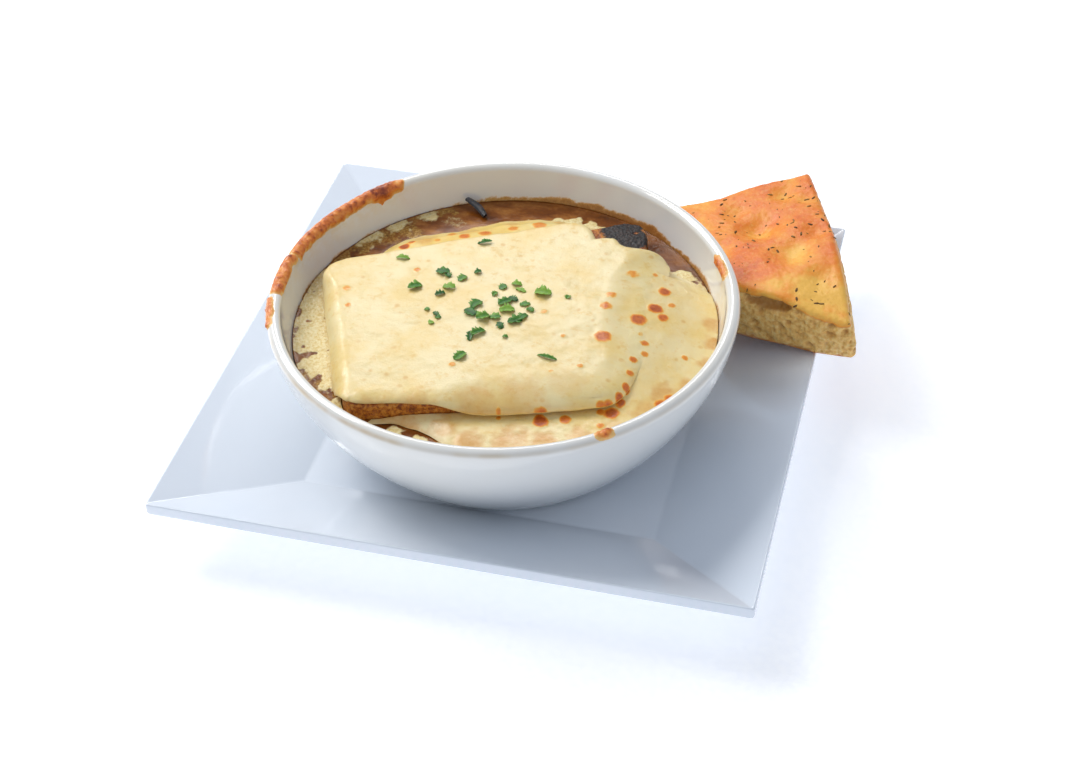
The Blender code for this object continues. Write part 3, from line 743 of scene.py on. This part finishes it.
def cheeseMaterial(name, pale, deep, golden, roughness):
    material, tree, shader = startMaterial(name, **{"Subsurface Weight": 0.18, "Subsurface Scale": 0.004,
                                                    "Subsurface Radius": (1.0, 0.75, 0.4),
                                                    "Coat Weight": 0.25, "Coat Roughness": 0.18})
    place = objectPlace(tree)
    blotch = noiseNode(tree, place, 48.0, 4.0, 0.6)
    color = mixNode(tree, rangeNode(tree, blotch, 0.36, 0.68), pale, deep)
    mottle = noiseNode(tree, place, 240.0, 4.0, 0.65)
    color = mixNode(tree, rangeNode(tree, mottle, 0.52, 0.75, 0.0, 0.55), color, golden)
    few = rangeNode(tree, noiseNode(tree, place, 70.0, 2.0), 0.48, 0.62, 0.0, 0.5)
    speck = mathNode(tree, "MULTIPLY", rangeNode(tree, cellNode(tree, place, 170.0), 0.08, 0.26, 1.0, 0.0), few)
    color = mixNode(tree, speck, color, (214, 158, 58))
    # tan mask: browned patches, and painted shade in the crease at the foot of the front roll
    tan = mathNode(tree, "MULTIPLY", maskNode(tree, "tan"), rangeNode(tree, mottle, 0.25, 0.65, 0.55, 1.0))
    color = mixNode(tree, tan, color, (214, 152, 66))
    brown = raggedNode(tree, maskNode(tree, "browned"), noiseNode(tree, place, 620.0, 3.0, 0.6), 0.5)
    baked = rampNode(tree, brown, [(0.2, 244, 204, 100), (0.45, 240, 164, 52),
                                   (0.74, 222, 118, 26), (1.0, 174, 76, 14)])
    color = mixNode(tree, rangeNode(tree, brown, 0.1, 0.5), color, baked)
    grain = noiseNode(tree, place, 1300.0, 3.0, 0.6)
    height = mathNode(tree, "ADD", mathNode(tree, "MULTIPLY", grain, 0.5), mottle)
    finish(tree, shader, Base_Color=color, Normal=bumpNode(tree, height, 0.45, 0.0004),
           Roughness=rangeNode(tree, mottle, 0.3, 0.7, roughness, roughness + 0.14))
    return material


paleCheese = cheeseMaterial("paleCheese", (241, 221, 166), (237, 207, 132), (226, 182, 88), 0.30)
yellowCheese = cheeseMaterial("yellowCheese", (246, 222, 150), (242, 206, 112), (228, 170, 72), 0.28)


def sliceReach():
    wrapped = np.where(edgePlace > 2.0, edgePlace - 4.0, edgePlace)
    reach = 3.0 - 3.4 * hump(0.12, 0.36, wrapped) + 2.2 * hump(0.6, 0.3, edgePlace) - hump(1.5, 0.5, edgePlace)
    wave = 0.5 * layeredNoise(flat3(edgePoint), 9.0, 71, 2)
    return (reach + wave) * (1.0 - charCorner) - 17.5 * charCorner + 8.5 * rightSide


def sliceSkirt():
    front = ease(0.32, 0.5, edgePlace) * (1.0 - ease(0.95, 1.25, edgePlace))
    left = ease(3.05, 3.15, edgePlace) * (1.0 - ease(3.82, 3.95, edgePlace))
    return front * 3.6 + left * 5.4


def sliceRoll():
    # how far in from the edge the slice becomes level
    front = ease(0.25, 0.55, edgePlace) * (1.0 - ease(0.98, 1.2, edgePlace))
    roll = np.where(edgePlace < 2.0, mix(6.0, 17.0, front), 2.6 + 5.0 * ease(3.0, 3.2, edgePlace))
    roll = mix(roll, 23.0, rightSide)
    return mix(roll, 2.6, ease(1.78, 1.9, edgePlace) * (edgePlace < 2.5))


def makeSlice():
    reach, skirt, roll = sliceReach(), sliceSkirt(), sliceRoll()
    underside = sliceShape["underside"]
    footReach = np.minimum(reach - 0.8, sliceShape["toastGap"])
    foot = edgeLine(footReach)
    rings = [flat3(towardsMiddle(foot, 0.6), underside), flat3(towardsMiddle(foot, 0.25), underside),
             flat3(foot, underside)]
    for share in (0.04, 0.35, 0.7, 1.0):
        spotReach = mix(footReach, reach, share)
        spot = edgeLine(spotReach)
        hanging = underside - skirt + 0.5 * share ** 3
        rings.append(flat3(spot, mix(hanging, flowHeight(spotReach, spot) - 0.9, rightSide)))
    levelSpot = edgeLine(reach - roll)
    levelTop = crownHeight(levelSpot)
    edgeTop = mix(underside - skirt + 0.5, flowHeight(reach, edgeLine(reach)) - 0.55, rightSide)
    for k in range(1, sliceShape["rollRows"] + 1):
        turn = math.pi / 2 * k / sliceShape["rollRows"]
        q = 1.0 - math.cos(turn)
        spotReach = reach - roll * q
        spot = edgeLine(spotReach)
        rolled = edgeTop + (levelTop - edgeTop) * math.sin(turn)
        eased = mix(np.maximum(flowHeight(spotReach, spot), edgeTop), levelTop, ease(0.55, 1.0, q))
        # on the right its edge sinks into the melted side
        sunk = 0.5 - 0.55 * ease(0.0, 8.0, reach - spotReach)
        rings.append(flat3(spot, mix(rolled, eased - sunk, rightSide)))
    for k in range(1, sliceShape["innerRows"] + 1):
        spot = towardsMiddle(levelSpot, k / (sliceShape["innerRows"] + 1))
        rings.append(flat3(spot, crownHeight(spot)))
    rings = np.stack(rings)
    top = slice(7, len(rings))
    at = rings[top].copy()
    browned = spotField(at[..., :2], sliceShape["browned"], 72)
    tan = spotField(at[..., :2], sliceShape["tan"], 73, 0.35)
    # browned crust along the hanging edge at the front left; further along the front the same tan is painted shade
    # in the crease at the foot of the roll
    rollFootCrustAndShade = ease(57.5, 53.5, at[..., 2])
    frontLeft = np.clip(ease(3.85, 4.0, edgePlace) + ease(0.85, 0.55, edgePlace) * (edgePlace < 1.5), 0.0, 1.0)
    tan = np.maximum(tan, 0.8 * rollFootCrustAndShade * frontLeft[None])
    lumps = 0.10 * layeredNoise(at, 3.4, 74, 2) + 0.05 * softNoise(at, 1.5, 75)
    blister = 0.35 * np.clip(browned * 1.6, 0.0, 1.0) * (1.0 - 1.5 * np.clip(browned - 0.5, 0.0, 0.5))
    fade = np.ones(at.shape[:2])
    fade[:4] = np.array((0.0, 0.3, 0.6, 0.85))[:, None]
    rings[top, :, 2] += (lumps + blister) * fade
    masks = topMasks(rings.shape[:2], top, browned=browned, tan=tan)
    makeRingPiece("cheeseSlice", rings, paleCheese, masks, "pale_cheese", "cheese_top")
    return reach


slicePast = makeSlice()
print("upper slice ready")


def makeMelt(name, nodeName, material, melt, reachOf, heightOf):
    # cheese on the broth outside the toast, from one place on the outline to another
    who = np.where((edgePlace > melt["start"]) & (edgePlace < melt["end"]))[0]
    bottom = broth["level"] + 0.35
    reach = np.minimum(reachOf(who), wallReach(52.0)[who])
    start = np.full(len(who), sliceShape["toastGap"])
    grid = np.stack([mix(start, reach, t) for t in np.linspace(0.0, 1.0, melt["rows"])])
    xy = np.stack([edgeLine(row, who) for row in grid])
    fromEnd = np.minimum(np.arange(len(who)), np.arange(len(who))[::-1])
    endFade = ease(-1.0, 26.0, fromEnd)[None]
    browned = spotField(xy, melt["browned"], 81)
    tan = spotField(xy, melt["tan"], 83, 0.4)
    z = heightOf(grid, xy, who) + 0.12 * layeredNoise(flat3(xy), 3.0, 82, 2) + 0.3 * np.clip(browned, 0.0, 0.6)
    z = np.maximum(bottom + 0.12, mix(bottom + 0.12, z, endFade))
    points, faces = patchShell(flat3(xy, z)[:, ::-1], flat3(xy, bottom)[:, ::-1])
    masks = {key: np.tile(values[:, ::-1].reshape(-1), 2) for key, values in (("browned", browned), ("tan", tan))}
    piece = addPiece(name, onAxis(points), faces, material, masks)
    takePlace(piece, "yellow_cheese", nodeName)


meltedSide = {
    "start": 0.10, "end": 1.86, "rows": 64, "browned": sliceShape["browned"],
    "tan": (
        (20, -66, 8, 0.8), (32, -62.5, 6, 0.8), (44, -58, 6, 0.7), (6, -71, 8, 0.8), (55, -51, 6, 0.5),
        (70, -30, 7, 0.7), (66, -40, 7, 0.6), (78, -22, 5, 0.7), (82, -8, 5, 0.8), (82, 5, 5, 0.8),
        (79, 16, 5, 0.7), (-12, -72, 7, 0.7), (-22, -66, 9, 0.8), (-6, -64, 7, 0.6))}


def flowReach(who):
    full = wallReach(52.0)[who]
    place = edgePlace[who]
    back = 30.0 - 27.0 * ease(1.5, 1.8, place) + 2.0 * layeredNoise(flat3(edgePoint[who]), 6.0, 84, 3)
    front = 3.0 + 0.7 * layeredNoise(flat3(edgePoint[who]), 7.0, 87, 3)
    full = mix(front, full, ease(0.14, 0.62, place + 0.02 * layeredNoise(flat3(edgePoint[who]), 9.0, 88, 2)))
    return np.where(place < 1.5, full, np.minimum(full, mix(full, back, ease(1.5, 1.56, place))))


def flowTop(reach, xy, who):
    height = flowHeight(reach, xy, who)
    past = reach - slicePast[who]
    height = height - 1.2 * ease(-7.0, -11.0, past) * rightSide[who]
    # where it draws back from the wall its edge thins out on the broth
    free = np.maximum(ease(1.48, 1.58, edgePlace[who]), ease(0.7, 0.5, edgePlace[who]))
    outer = flowReach(who)
    thin = ease(outer, outer - np.minimum(9.0, outer), reach)
    edge = broth["level"] + 0.5
    return mix(height, edge + (height - edge) * thin, free)


makeMelt("meltedSide", "cheese_flow", paleCheese, meltedSide, flowReach, flowTop)


yellowSlice = {
    "start": 2.17, "end": 2.9, "rows": 40, "width": 17.5,
    "browned": (
        (-52, 36, 2.6, 1), (-50, 40, 2, 0.8), (-30, 47.5, 3, 0.75), (-22, 51.5, 3.2, 0.7), (-12, 57, 3, 0.6),
        (-2, 62.5, 4, 0.62), (8, 64, 3, 0.55), (-40, 43, 2, 0.5), (-36, 50, 3, 0.6), (14, 62, 3, 0.5)),
    "tan": ((-46, 44, 6, 0.6), (-30, 54, 5, 0.6), (-14, 62, 4, 0.5), (6, 68, 4, 0.6))}


def backReach(who):
    place = edgePlace[who]
    wave = layeredNoise(flat3(edgePoint[who]), 14.0, 85, 3)
    width = yellowSlice["width"] + 4.0 * wave
    return 3.0 + width * ease(yellowSlice["start"], 2.42, place) * (1.0 - ease(2.66, yellowSlice["end"], place))


def backTop(reach, xy, who):
    u = np.clip(reach / backReach(who), 0.0, 1.0)
    body = 51.0 + 5.4 * (1.0 - u) ** 0.8 + 0.5 * layeredNoise(flat3(xy), 8.0, 86, 2)
    return mix(body, np.full_like(body, broth["level"] + 0.5), ease(0.75, 1.0, u))


makeMelt("yellowSlice", "cheese_back", yellowCheese, yellowSlice, backReach, backTop)
print("melted cheese ready")


# cheese baked onto the lip: a bumpy crust over the bowl's own profile

# each arc: first and last angle in degrees, middle and half width over the lip
lipCrust = {
    "arcs": (
        (134, 176, 0.3, 0.85), (177, 192.5, 0.1, 0.85), (193.8, 205, -0.55, 0.5), (20.5, 30, 0.75, 0.55),
        (-52.8, -48.8, -0.1, 0.6)),
    "height": 0.95}


def lipPoint(degrees, over):
    # over runs from -1 on the outer side to 1 on the inner side, and on down the inner wall
    lip = bowl["wall"] / 2
    turn = np.clip(over, -1.0, 1.0) * math.pi / 2
    z = bowl["base"] + bowl["height"] - lip + lip * np.cos(turn) - np.maximum(np.abs(over) - 1.0, 0.0) * 4.0
    drop = np.minimum(z, bowl["base"] + bowl["height"] - lip)
    middle = outerRadius(drop - bowl["base"]) - lip
    radius = middle - lip * np.sin(turn)
    angle = np.radians(degrees)
    normal = np.stack([-np.sin(turn) * np.cos(angle), -np.sin(turn) * np.sin(angle), np.cos(turn)], -1)
    return np.stack([radius * np.cos(angle), radius * np.sin(angle), z], -1), normal


def makeLipCrust():
    material, tree, shader = startMaterial("bakedCheese", **{"Coat Weight": 0.3, "Coat Roughness": 0.2})
    place = objectPlace(tree)
    grain = noiseNode(tree, place, 420.0, 4.0, 0.65)
    toned = raggedNode(tree, maskNode(tree, "baked"), grain, 0.9)
    color = rampNode(tree, toned, [(0.1, 244, 200, 124), (0.42, 238, 152, 62), (0.7, 218, 114, 36),
                                   (1.0, 140, 54, 16)])
    finish(tree, shader, Base_Color=color, Roughness=rangeNode(tree, grain, 0.3, 0.7, 0.32, 0.6),
           Normal=bumpNode(tree, grain, 0.6, 0.0005))
    for number, (start, end, centre, width) in enumerate(lipCrust["arcs"]):
        columns = int((end - start) * 4) + 12
        degrees, over = np.meshgrid(np.linspace(start - 1.0, end + 1.0, columns), np.linspace(-1.7, 2.6, 46))
        at, normal = lipPoint(degrees, over)
        wave = layeredNoise(at, 7.0, 90 + number, 4, 0.65)
        thick = 1.0 + 0.7 * hump(141.0, 5.0, degrees)
        away = np.abs(over - centre - 0.3 * wave) / (width * thick)
        ragged = degrees + 1.2 * wave
        ends = ease(start - 1.0, start + 1.2, ragged) * ease(end + 1.0, end - 1.2, ragged)
        cover = (1.3 - away + 0.3 * wave) * ends - 0.2
        lumps = 0.7 + 0.5 * layeredNoise(at, 2.2, 95 + number, 3)
        lumps = lumps + 0.5 * np.maximum(0.0, 0.6 - nearestSeed(at, 1.6, 97))
        height = np.where(cover > 0.0, lipCrust["height"] * ease(0.0, 0.8, cover) * lumps, cover * 0.5)
        height = np.clip(height, -0.3, 1.5)
        height[:, (0, -1)] = -0.3
        height[(0, -1), :] = -0.3
        points, faces = patchShell(at + normal * height[..., None], at - normal * 0.6)
        baked = np.clip(0.15 + 0.7 * height + 0.3 * hump(141.0, 4.0, degrees), 0.0, 1.0)
        piece = addPiece("lipCrust%d" % (number + 1), onAxis(points), faces, material,
                         {"baked": np.tile(baked.reshape(-1), 2)})
        turnOutward(piece)
        takePlace(piece, "baked_cheese")


makeLipCrust()
print("lip crust ready")


# chopped parsley: small folded leaves with ragged edges

# each leaf: x, y, length, width, heading in degrees
parsley = {
    "thickness": 0.14, "rows": 13, "columns": 7,
    "leaves": (
        (-46.8, 19.6, 4.6, 1.6, 5), (-17.5, 35.8, 4.8, 1.5, 25), (-28.5, 13.8, 4.6, 2.6, 20),
        (-25.8, 11.8, 2.6, 1.8, -40), (-36.4, 2.2, 4.8, 3.2, 40), (-19.9, 11.2, 3.4, 2.6, 60),
        (-14.9, 16.3, 2.4, 1.8, 30), (-23.3, 4.6, 4.2, 2.4, 0), (-25.6, 0.2, 3.4, 1.8, 30),
        (2, 12.3, 3.4, 2, 0), (-2.8, 9.3, 2.8, 2.4, 50), (4.5, 9, 3.8, 1.4, -15), (-4.7, 4.3, 2.4, 1.6, 70),
        (13.3, 9.1, 5.6, 3.6, 0), (23.3, 8.8, 1.8, 1.6, 80), (-27.8, -9.9, 1.8, 1.4, 0),
        (-23.6, -12.1, 3, 1.4, -35), (-22.3, -13.6, 2, 1.4, 10), (-24, -17.2, 1.8, 1.6, 50),
        (-10.1, -3.3, 4.6, 3.2, 65), (-11, -8.6, 4.8, 3, -30), (-5.3, -10.4, 4.6, 3.4, 40),
        (-0.9, -9.3, 3.6, 2.6, 10), (0.4, 0.4, 4.8, 2.8, 50), (3, 2.9, 3.6, 2.2, -20),
        (2.5, -4.2, 4.8, 3.4, 20), (8.3, 0.9, 3.4, 2, 15), (11.1, -2.2, 2.8, 1.8, -25), (7.2, -10, 4.8, 3, 25),
        (9.2, -7, 4.2, 2.6, 60), (2.3, -13.6, 3.2, 2, -50), (-4.7, -19.5, 5, 2.6, 45),
        (-7.2, -21.9, 4.4, 1.8, 100), (5.9, -19.5, 1.8, 1.2, 0), (-7.6, -34.1, 4.6, 2.8, 60),
        (24.2, -27.3, 6.4, 1.3, -8))}


def makeParsley():
    material, tree, shader = startMaterial("choppedParsley", Roughness=0.42)
    veins = noiseNode(tree, objectPlace(tree), 700.0, 3.0)
    tone = raggedNode(tree, maskNode(tree, "tone"), veins, 0.5)
    color = rampNode(tree, tone, [(0.1, 24, 72, 22), (0.45, 62, 122, 36), (0.9, 138, 180, 62)])
    finish(tree, shader, Base_Color=color, Normal=bumpNode(tree, veins, 0.5, 0.0003))
    allPoints, allFaces, tones = [], [], []
    random = np.random.default_rng(7)
    v, u = np.meshgrid(np.linspace(-1.0, 1.0, parsley["columns"]), np.linspace(-1.0, 1.0, parsley["rows"]))
    for x, y, length, width, heading in parsley["leaves"]:
        ragged = 1.0 + 0.45 * random.uniform(-1.0, 1.0, u.shape)
        lx = u * length * 0.6 + 0.12 * random.uniform(-1.0, 1.0, u.shape)
        ly = v * width * 0.68 * np.sqrt(np.maximum(1.0 - u * u, 0.06)) * ragged
        fold = random.uniform(0.1, 0.7)
        lz = 0.3 + fold * np.abs(ly) + random.uniform(-0.25, 0.25) * lx * 0.4 + 0.25 * (1.0 - u * u)
        a = math.radians(heading)
        xy = np.stack([x + lx * math.cos(a) - ly * math.sin(a), y + lx * math.sin(a) + ly * math.cos(a)], -1)
        z = float(crownHeight(np.array([x, y]))) + 0.05 + lz - lz.min()
        points, faces = patchShell(flat3(xy, z + parsley["thickness"]), flat3(xy, z))
        shift = sum(len(group) for group in allPoints)
        allPoints.append(points)
        allFaces.extend([[i + shift for i in face] for face in faces])
        tones.append(np.clip(random.uniform(0.1, 0.8) + 0.3 * np.tile(np.abs(v).reshape(-1), 2), 0.0, 1.0))
    piece = addPiece("choppedParsley", onAxis(np.concatenate(allPoints)), allFaces, material,
                     {"tone": np.concatenate(tones)})
    turnOutward(piece)
    takePlace(piece, "parsley")


makeParsley()
print("parsley ready")


# bread wedge: dimpled herb crust, open crumb on the cut sides; x and y from the plate's middle

# each dent: x, y, depth, radius; the pocket: place along and up the front cut, half length, half height
bread = {
    "outline": (
        (16.2, 23.4), (12, 43), (3.6, 72.3), (-4.4, 93.6), (-13.6, 117.4), (-34, 109.4), (-50, 99.6), (-76, 91),
        (-62, 65), (-44.5, 43), (-27.2, 36), (-14.4, 32), (0, 26.6)),
    "rounding": 2.0, "points": 600, "thick": 27.0, "nose": 18.5, "tilt": 10.0, "pivot": (114.3, 25.7),
    "dents": (
        (-28, 78, 3.6, 13), (-12, 58, 3, 12), (-44, 62, 2, 12), (-22, 101, 2, 8), (-4, 74, 1.6, 9),
        (-40, 88, 1.8, 9), (2, 44, 1.4, 9)),
    "undercut": 7.0, "heelLift": 3.5, "pocket": (-17.0, 20.5, 11.0, 3.4)}


def loafHeight(xy):
    x, y = xy[..., 0], xy[..., 1]
    nose = ease(-18.0, 15.0, x) * (1.0 - ease(24.0, 62.0, y))
    thick = bread["thick"] - (bread["thick"] - bread["nose"]) * nose
    for dentX, dentY, depth, size in bread["dents"]:
        thick = thick - depth * hump(0.0, size, np.hypot(x - dentX, y - dentY))
    return thick + 0.7 * softNoise(flat3(xy), 11.0, 101) + 0.25 * layeredNoise(flat3(xy), 4.0, 102, 3)


def makeBread():
    edge = roundedOutline(bread["outline"], bread["rounding"], bread["points"])
    run = np.roll(edge, -1, axis=0) - np.roll(edge, 1, axis=0)
    normal = np.stack([run[:, 1], -run[:, 0]], -1) / np.linalg.norm(run, axis=1)[:, None]
    middle = edge.mean(axis=0)
    back = ease(0.1, 0.8, normal[:, 1]) * ease(-80.0, -58.0, edge[:, 0])
    rings, side, crust = [], [], []

    def ring(shrink, inset, undercut, heightOf, sideShare, crustShare):
        xy = edge + (middle - edge) * shrink - normal * inset
        xy[:, 1] -= bread["undercut"] * undercut * back
        lift = bread["heelLift"] * ease(70.0, 100.0, xy[:, 1])
        rings.append(flat3(xy, heightOf(lift, loafHeight(xy))))
        side.append(sideShare)
        crust.append(crustShare)

    for shrink in (0.62, 0.28, 0.08):
        ring(shrink, 0.0, 1.0 if shrink < 0.1 else 0.0, lambda lift, top: lift, 0.0, 0.0)
    for v in np.linspace(0.0, 1.0, 34):
        bulge = 0.7 * (1.0 - ease(0.0, 0.08, v)) - 0.8 * math.sin(math.pi * v)
        ring(0.0, bulge, (1.0 - v) ** 1.5, lambda lift, top: mix(lift + 0.3, top - 1.9, v),
             ease(0.0, 0.1, v) * ease(1.0, 0.93, v), ease(0.93, 1.0, v))
    for inset, drop in ((0.3, 1.1), (0.9, 0.5), (1.7, 0.1)):
        ring(0.0, inset, 0.0, lambda lift, top: top - drop, 0.0, 1.0)
    for shrink in np.linspace(0.04, 0.96, 60):
        ring(shrink, 1.7 * (1.0 - shrink), 0.0, lambda lift, top: top, 0.0, 1.0)
    rings = np.stack(rings)
    cut = np.clip(1.0 - ease(0.25, 0.5, normal[:, 1]), 0.0, 1.0)
    crumb = np.array(side)[:, None] * cut[None]
    at = rings.copy()
    pores = np.maximum(0.0, 0.55 - nearestSeed(at, 2.0, 103)) * 2.0
    pores = pores + np.maximum(0.0, 0.5 - nearestSeed(at * np.array((1.0, 1.0, 1.5)), 5.5, 104)) * 5.0
    pocketX, pocketZ, pocketLong, pocketHigh = bread["pocket"]
    fromPocket = np.hypot((at[..., 0] - pocketX) / pocketLong, (at[..., 2] - pocketZ) / pocketHigh)
    pocket = 1.0 - ease(0.5, 1.0, fromPocket)
    pocket = pocket * (normal[None, :, 1] < -0.4) * crumb
    push = crumb * (pores - 0.5 + 0.5 * layeredNoise(at, 5.0, 105, 3)) + 4.0 * pocket
    rings[..., :2] -= normal[None] * np.maximum(push, -0.8 * crumb)[..., None]
    crust = np.array(crust)[:, None] * np.ones(at.shape[:2])
    rings[..., 2] += crust * 0.12 * layeredNoise(at, 1.4, 106, 2)
    sunk = np.clip((bread["thick"] + 0.6 - at[..., 2]) / 4.0, 0.0, 1.0) * crust
    tilt = math.radians(bread["tilt"])
    world = rings.copy()
    world[..., 0] = bread["pivot"][0] + rings[..., 0] * math.cos(tilt) - rings[..., 2] * math.sin(tilt)
    world[..., 2] = bread["pivot"][1] + rings[..., 0] * math.sin(tilt) + rings[..., 2] * math.cos(tilt)

    material, tree, shader = startMaterial("herbBread", **{"Coat Weight": 0.12, "Coat Roughness": 0.3})
    place = objectPlace(tree)
    blotch = noiseNode(tree, place, 42.0, 5.0, 0.62)
    tone = mathNode(tree, "SUBTRACT", blotch, mathNode(tree, "MULTIPLY", maskNode(tree, "sunk"), 0.22))
    crustColor = rampNode(tree, tone, [(0.26, 246, 190, 82), (0.38, 242, 152, 44),
                                       (0.52, 234, 120, 22), (0.68, 200, 80, 10)])
    fine = noiseNode(tree, place, 520.0, 4.0, 0.65)
    crustColor = mixNode(tree, rangeNode(tree, fine, 0.5, 0.75, 0.0, 0.4), crustColor, (248, 196, 104))
    crumbColor = rampNode(tree, fine, [(0.3, 208, 148, 66), (0.5, 238, 190, 104), (0.7, 250, 218, 146)])
    # deep darkens the pushed-in pores and the air pocket of the cut crumb: painted shade in those hollows
    crumbColor = mixNode(tree, rangeNode(tree, maskNode(tree, "deep"), 0.1, 0.9, 0.0, 0.75), crumbColor,
                         (176, 120, 52))
    sideColor = rampNode(tree, blotch, [(0.3, 222, 146, 60), (0.5, 202, 116, 38), (0.7, 168, 82, 24)])
    color = mixNode(tree, maskNode(tree, "crumb"), sideColor, crumbColor)
    color = mixNode(tree, rangeNode(tree, maskNode(tree, "crust"), 0.35, 0.7), color, crustColor)
    finish(tree, shader, Base_Color=color, Normal=bumpNode(tree, fine, 0.5, 0.0006),
           Roughness=rangeNode(tree, blotch, 0.3, 0.7, 0.55, 0.38))
    points, faces = ringShell(world)
    # the deep mask carries painted shade for the crumb's pores and air pocket
    piece = addPiece("herbBread", points, faces, material,
                     {"crumb": ringMask(crumb), "crust": ringMask(crust), "sunk": ringMask(sunk),
                      "deep": ringMask(np.clip(push * 0.5, 0.0, 1.0) + pocket * 0.3)})
    takePlace(piece, "bread_crust", "bread")
    return piece


breadPiece = makeBread()
print("bread ready")


# scattered small things: one tree places a low shape on the faces that a mask marks

def scatterOn(source, name, maskName, shapeSize, material, inputs):
    tree = bpy.data.node_groups.new(name, "GeometryNodeTree")
    tree.interface.new_socket("Geometry", in_out="INPUT", socket_type="NodeSocketGeometry")
    sockets = {key: tree.interface.new_socket(key, in_out="INPUT", socket_type=kind)
               for key, kind in (("Density", "NodeSocketFloat"), ("Smallest", "NodeSocketFloat"),
                                 ("Largest", "NodeSocketFloat"), ("Seed", "NodeSocketInt"))}
    tree.interface.new_socket("Geometry", in_out="OUTPUT", socket_type="NodeSocketGeometry")
    given = addNode(tree, "NodeGroupInput").outputs
    mask = addNode(tree, "GeometryNodeInputNamedAttribute", {"Name": maskName}, data_type="FLOAT").outputs[0]
    density = mathNode(tree, "MULTIPLY", mask, given["Density"])
    spots = addNode(tree, "GeometryNodeDistributePointsOnFaces",
                    {"Mesh": given["Geometry"], "Density": density, "Seed": given["Seed"]})
    shape = addNode(tree, "GeometryNodeMeshIcoSphere", {"Radius": 0.001, "Subdivisions": 1}).outputs["Mesh"]
    stretched = addNode(tree, "GeometryNodeTransform", {"Geometry": shape, "Scale": shapeSize}).outputs[0]
    spin = addNode(tree, "FunctionNodeRandomValue", {"Min": (0.0, 0.0, 0.0), "Max": (0.25, 0.25, 6.28),
                                                     "Seed": given["Seed"]}, data_type="FLOAT_VECTOR").outputs[0]
    turned = addNode(tree, "FunctionNodeRotateRotation", {"Rotation": spots.outputs["Rotation"], "Rotate By": spin},
                     rotation_space="LOCAL").outputs[0]
    size = addNode(tree, "FunctionNodeRandomValue", {2: given["Smallest"], 3: given["Largest"],
                                                     "Seed": given["Seed"]}, data_type="FLOAT").outputs[1]
    placed = addNode(tree, "GeometryNodeInstanceOnPoints",
                     {"Points": spots.outputs["Points"], "Instance": stretched, "Rotation": turned,
                      "Scale": size}).outputs[0]
    real = addNode(tree, "GeometryNodeRealizeInstances", {"Geometry": placed}).outputs[0]
    dressed = addNode(tree, "GeometryNodeSetMaterial", {"Geometry": real, "Material": material}).outputs[0]
    out = addNode(tree, "NodeGroupOutput")
    tree.links.new(dressed, out.inputs[0])
    carrier = bpy.data.objects.new(name + "Carrier", source.data)
    scene.collection.objects.link(carrier)
    scatter = carrier.modifiers.new("scatter", "NODES")
    scatter.node_group = tree
    for key, value in inputs.items():
        scatter[sockets[key].identifier] = value
    evaluated = carrier.evaluated_get(bpy.context.evaluated_depsgraph_get())
    mesh = bpy.data.meshes.new_from_object(evaluated)
    bpy.data.objects.remove(carrier)
    mesh.name = name
    mesh.shade_smooth()
    piece = bpy.data.objects.new(name, mesh)
    scene.collection.objects.link(piece)
    return piece


def makeHerbFlecks():
    material, tree, shader = startMaterial("driedHerb", Roughness=0.7)
    place = objectPlace(tree)
    tone = noiseNode(tree, place, 220.0, 2.0)
    color = rampNode(tree, tone, [(0.35, 78, 50, 18), (0.5, 116, 84, 34), (0.65, 148, 112, 52)])
    finish(tree, shader, Base_Color=color,
           Normal=bumpNode(tree, noiseNode(tree, place, 1500.0), 0.4, 0.0002))
    piece = scatterOn(breadPiece, "herbFlecks", "crust", (1.0, 0.38, 0.16), material,
                      {"Density": 26000.0, "Smallest": 0.3, "Largest": 1.6, "Seed": 4})
    takePlace(piece, "parsley")


def dressOnion():
    material, tree, shader = startMaterial("burntOnion", **{"Coat Weight": 0.4, "Coat Roughness": 0.1})
    tone = noiseNode(tree, objectPlace(tree), 500.0, 4.0, 0.65)
    color = rampNode(tree, tone, [(0.35, 14, 16, 22), (0.55, 40, 42, 50), (0.75, 92, 62, 48)])
    finish(tree, shader, Base_Color=color, Roughness=rangeNode(tree, tone, 0.3, 0.7, 0.25, 0.5),
           Normal=bumpNode(tree, tone, 0.7, 0.0005))
    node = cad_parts["burnt_onion"]
    for slot in node.material_slots:
        slot.material = material


makeHerbFlecks()
dressOnion()
print("flecks and onion ready")
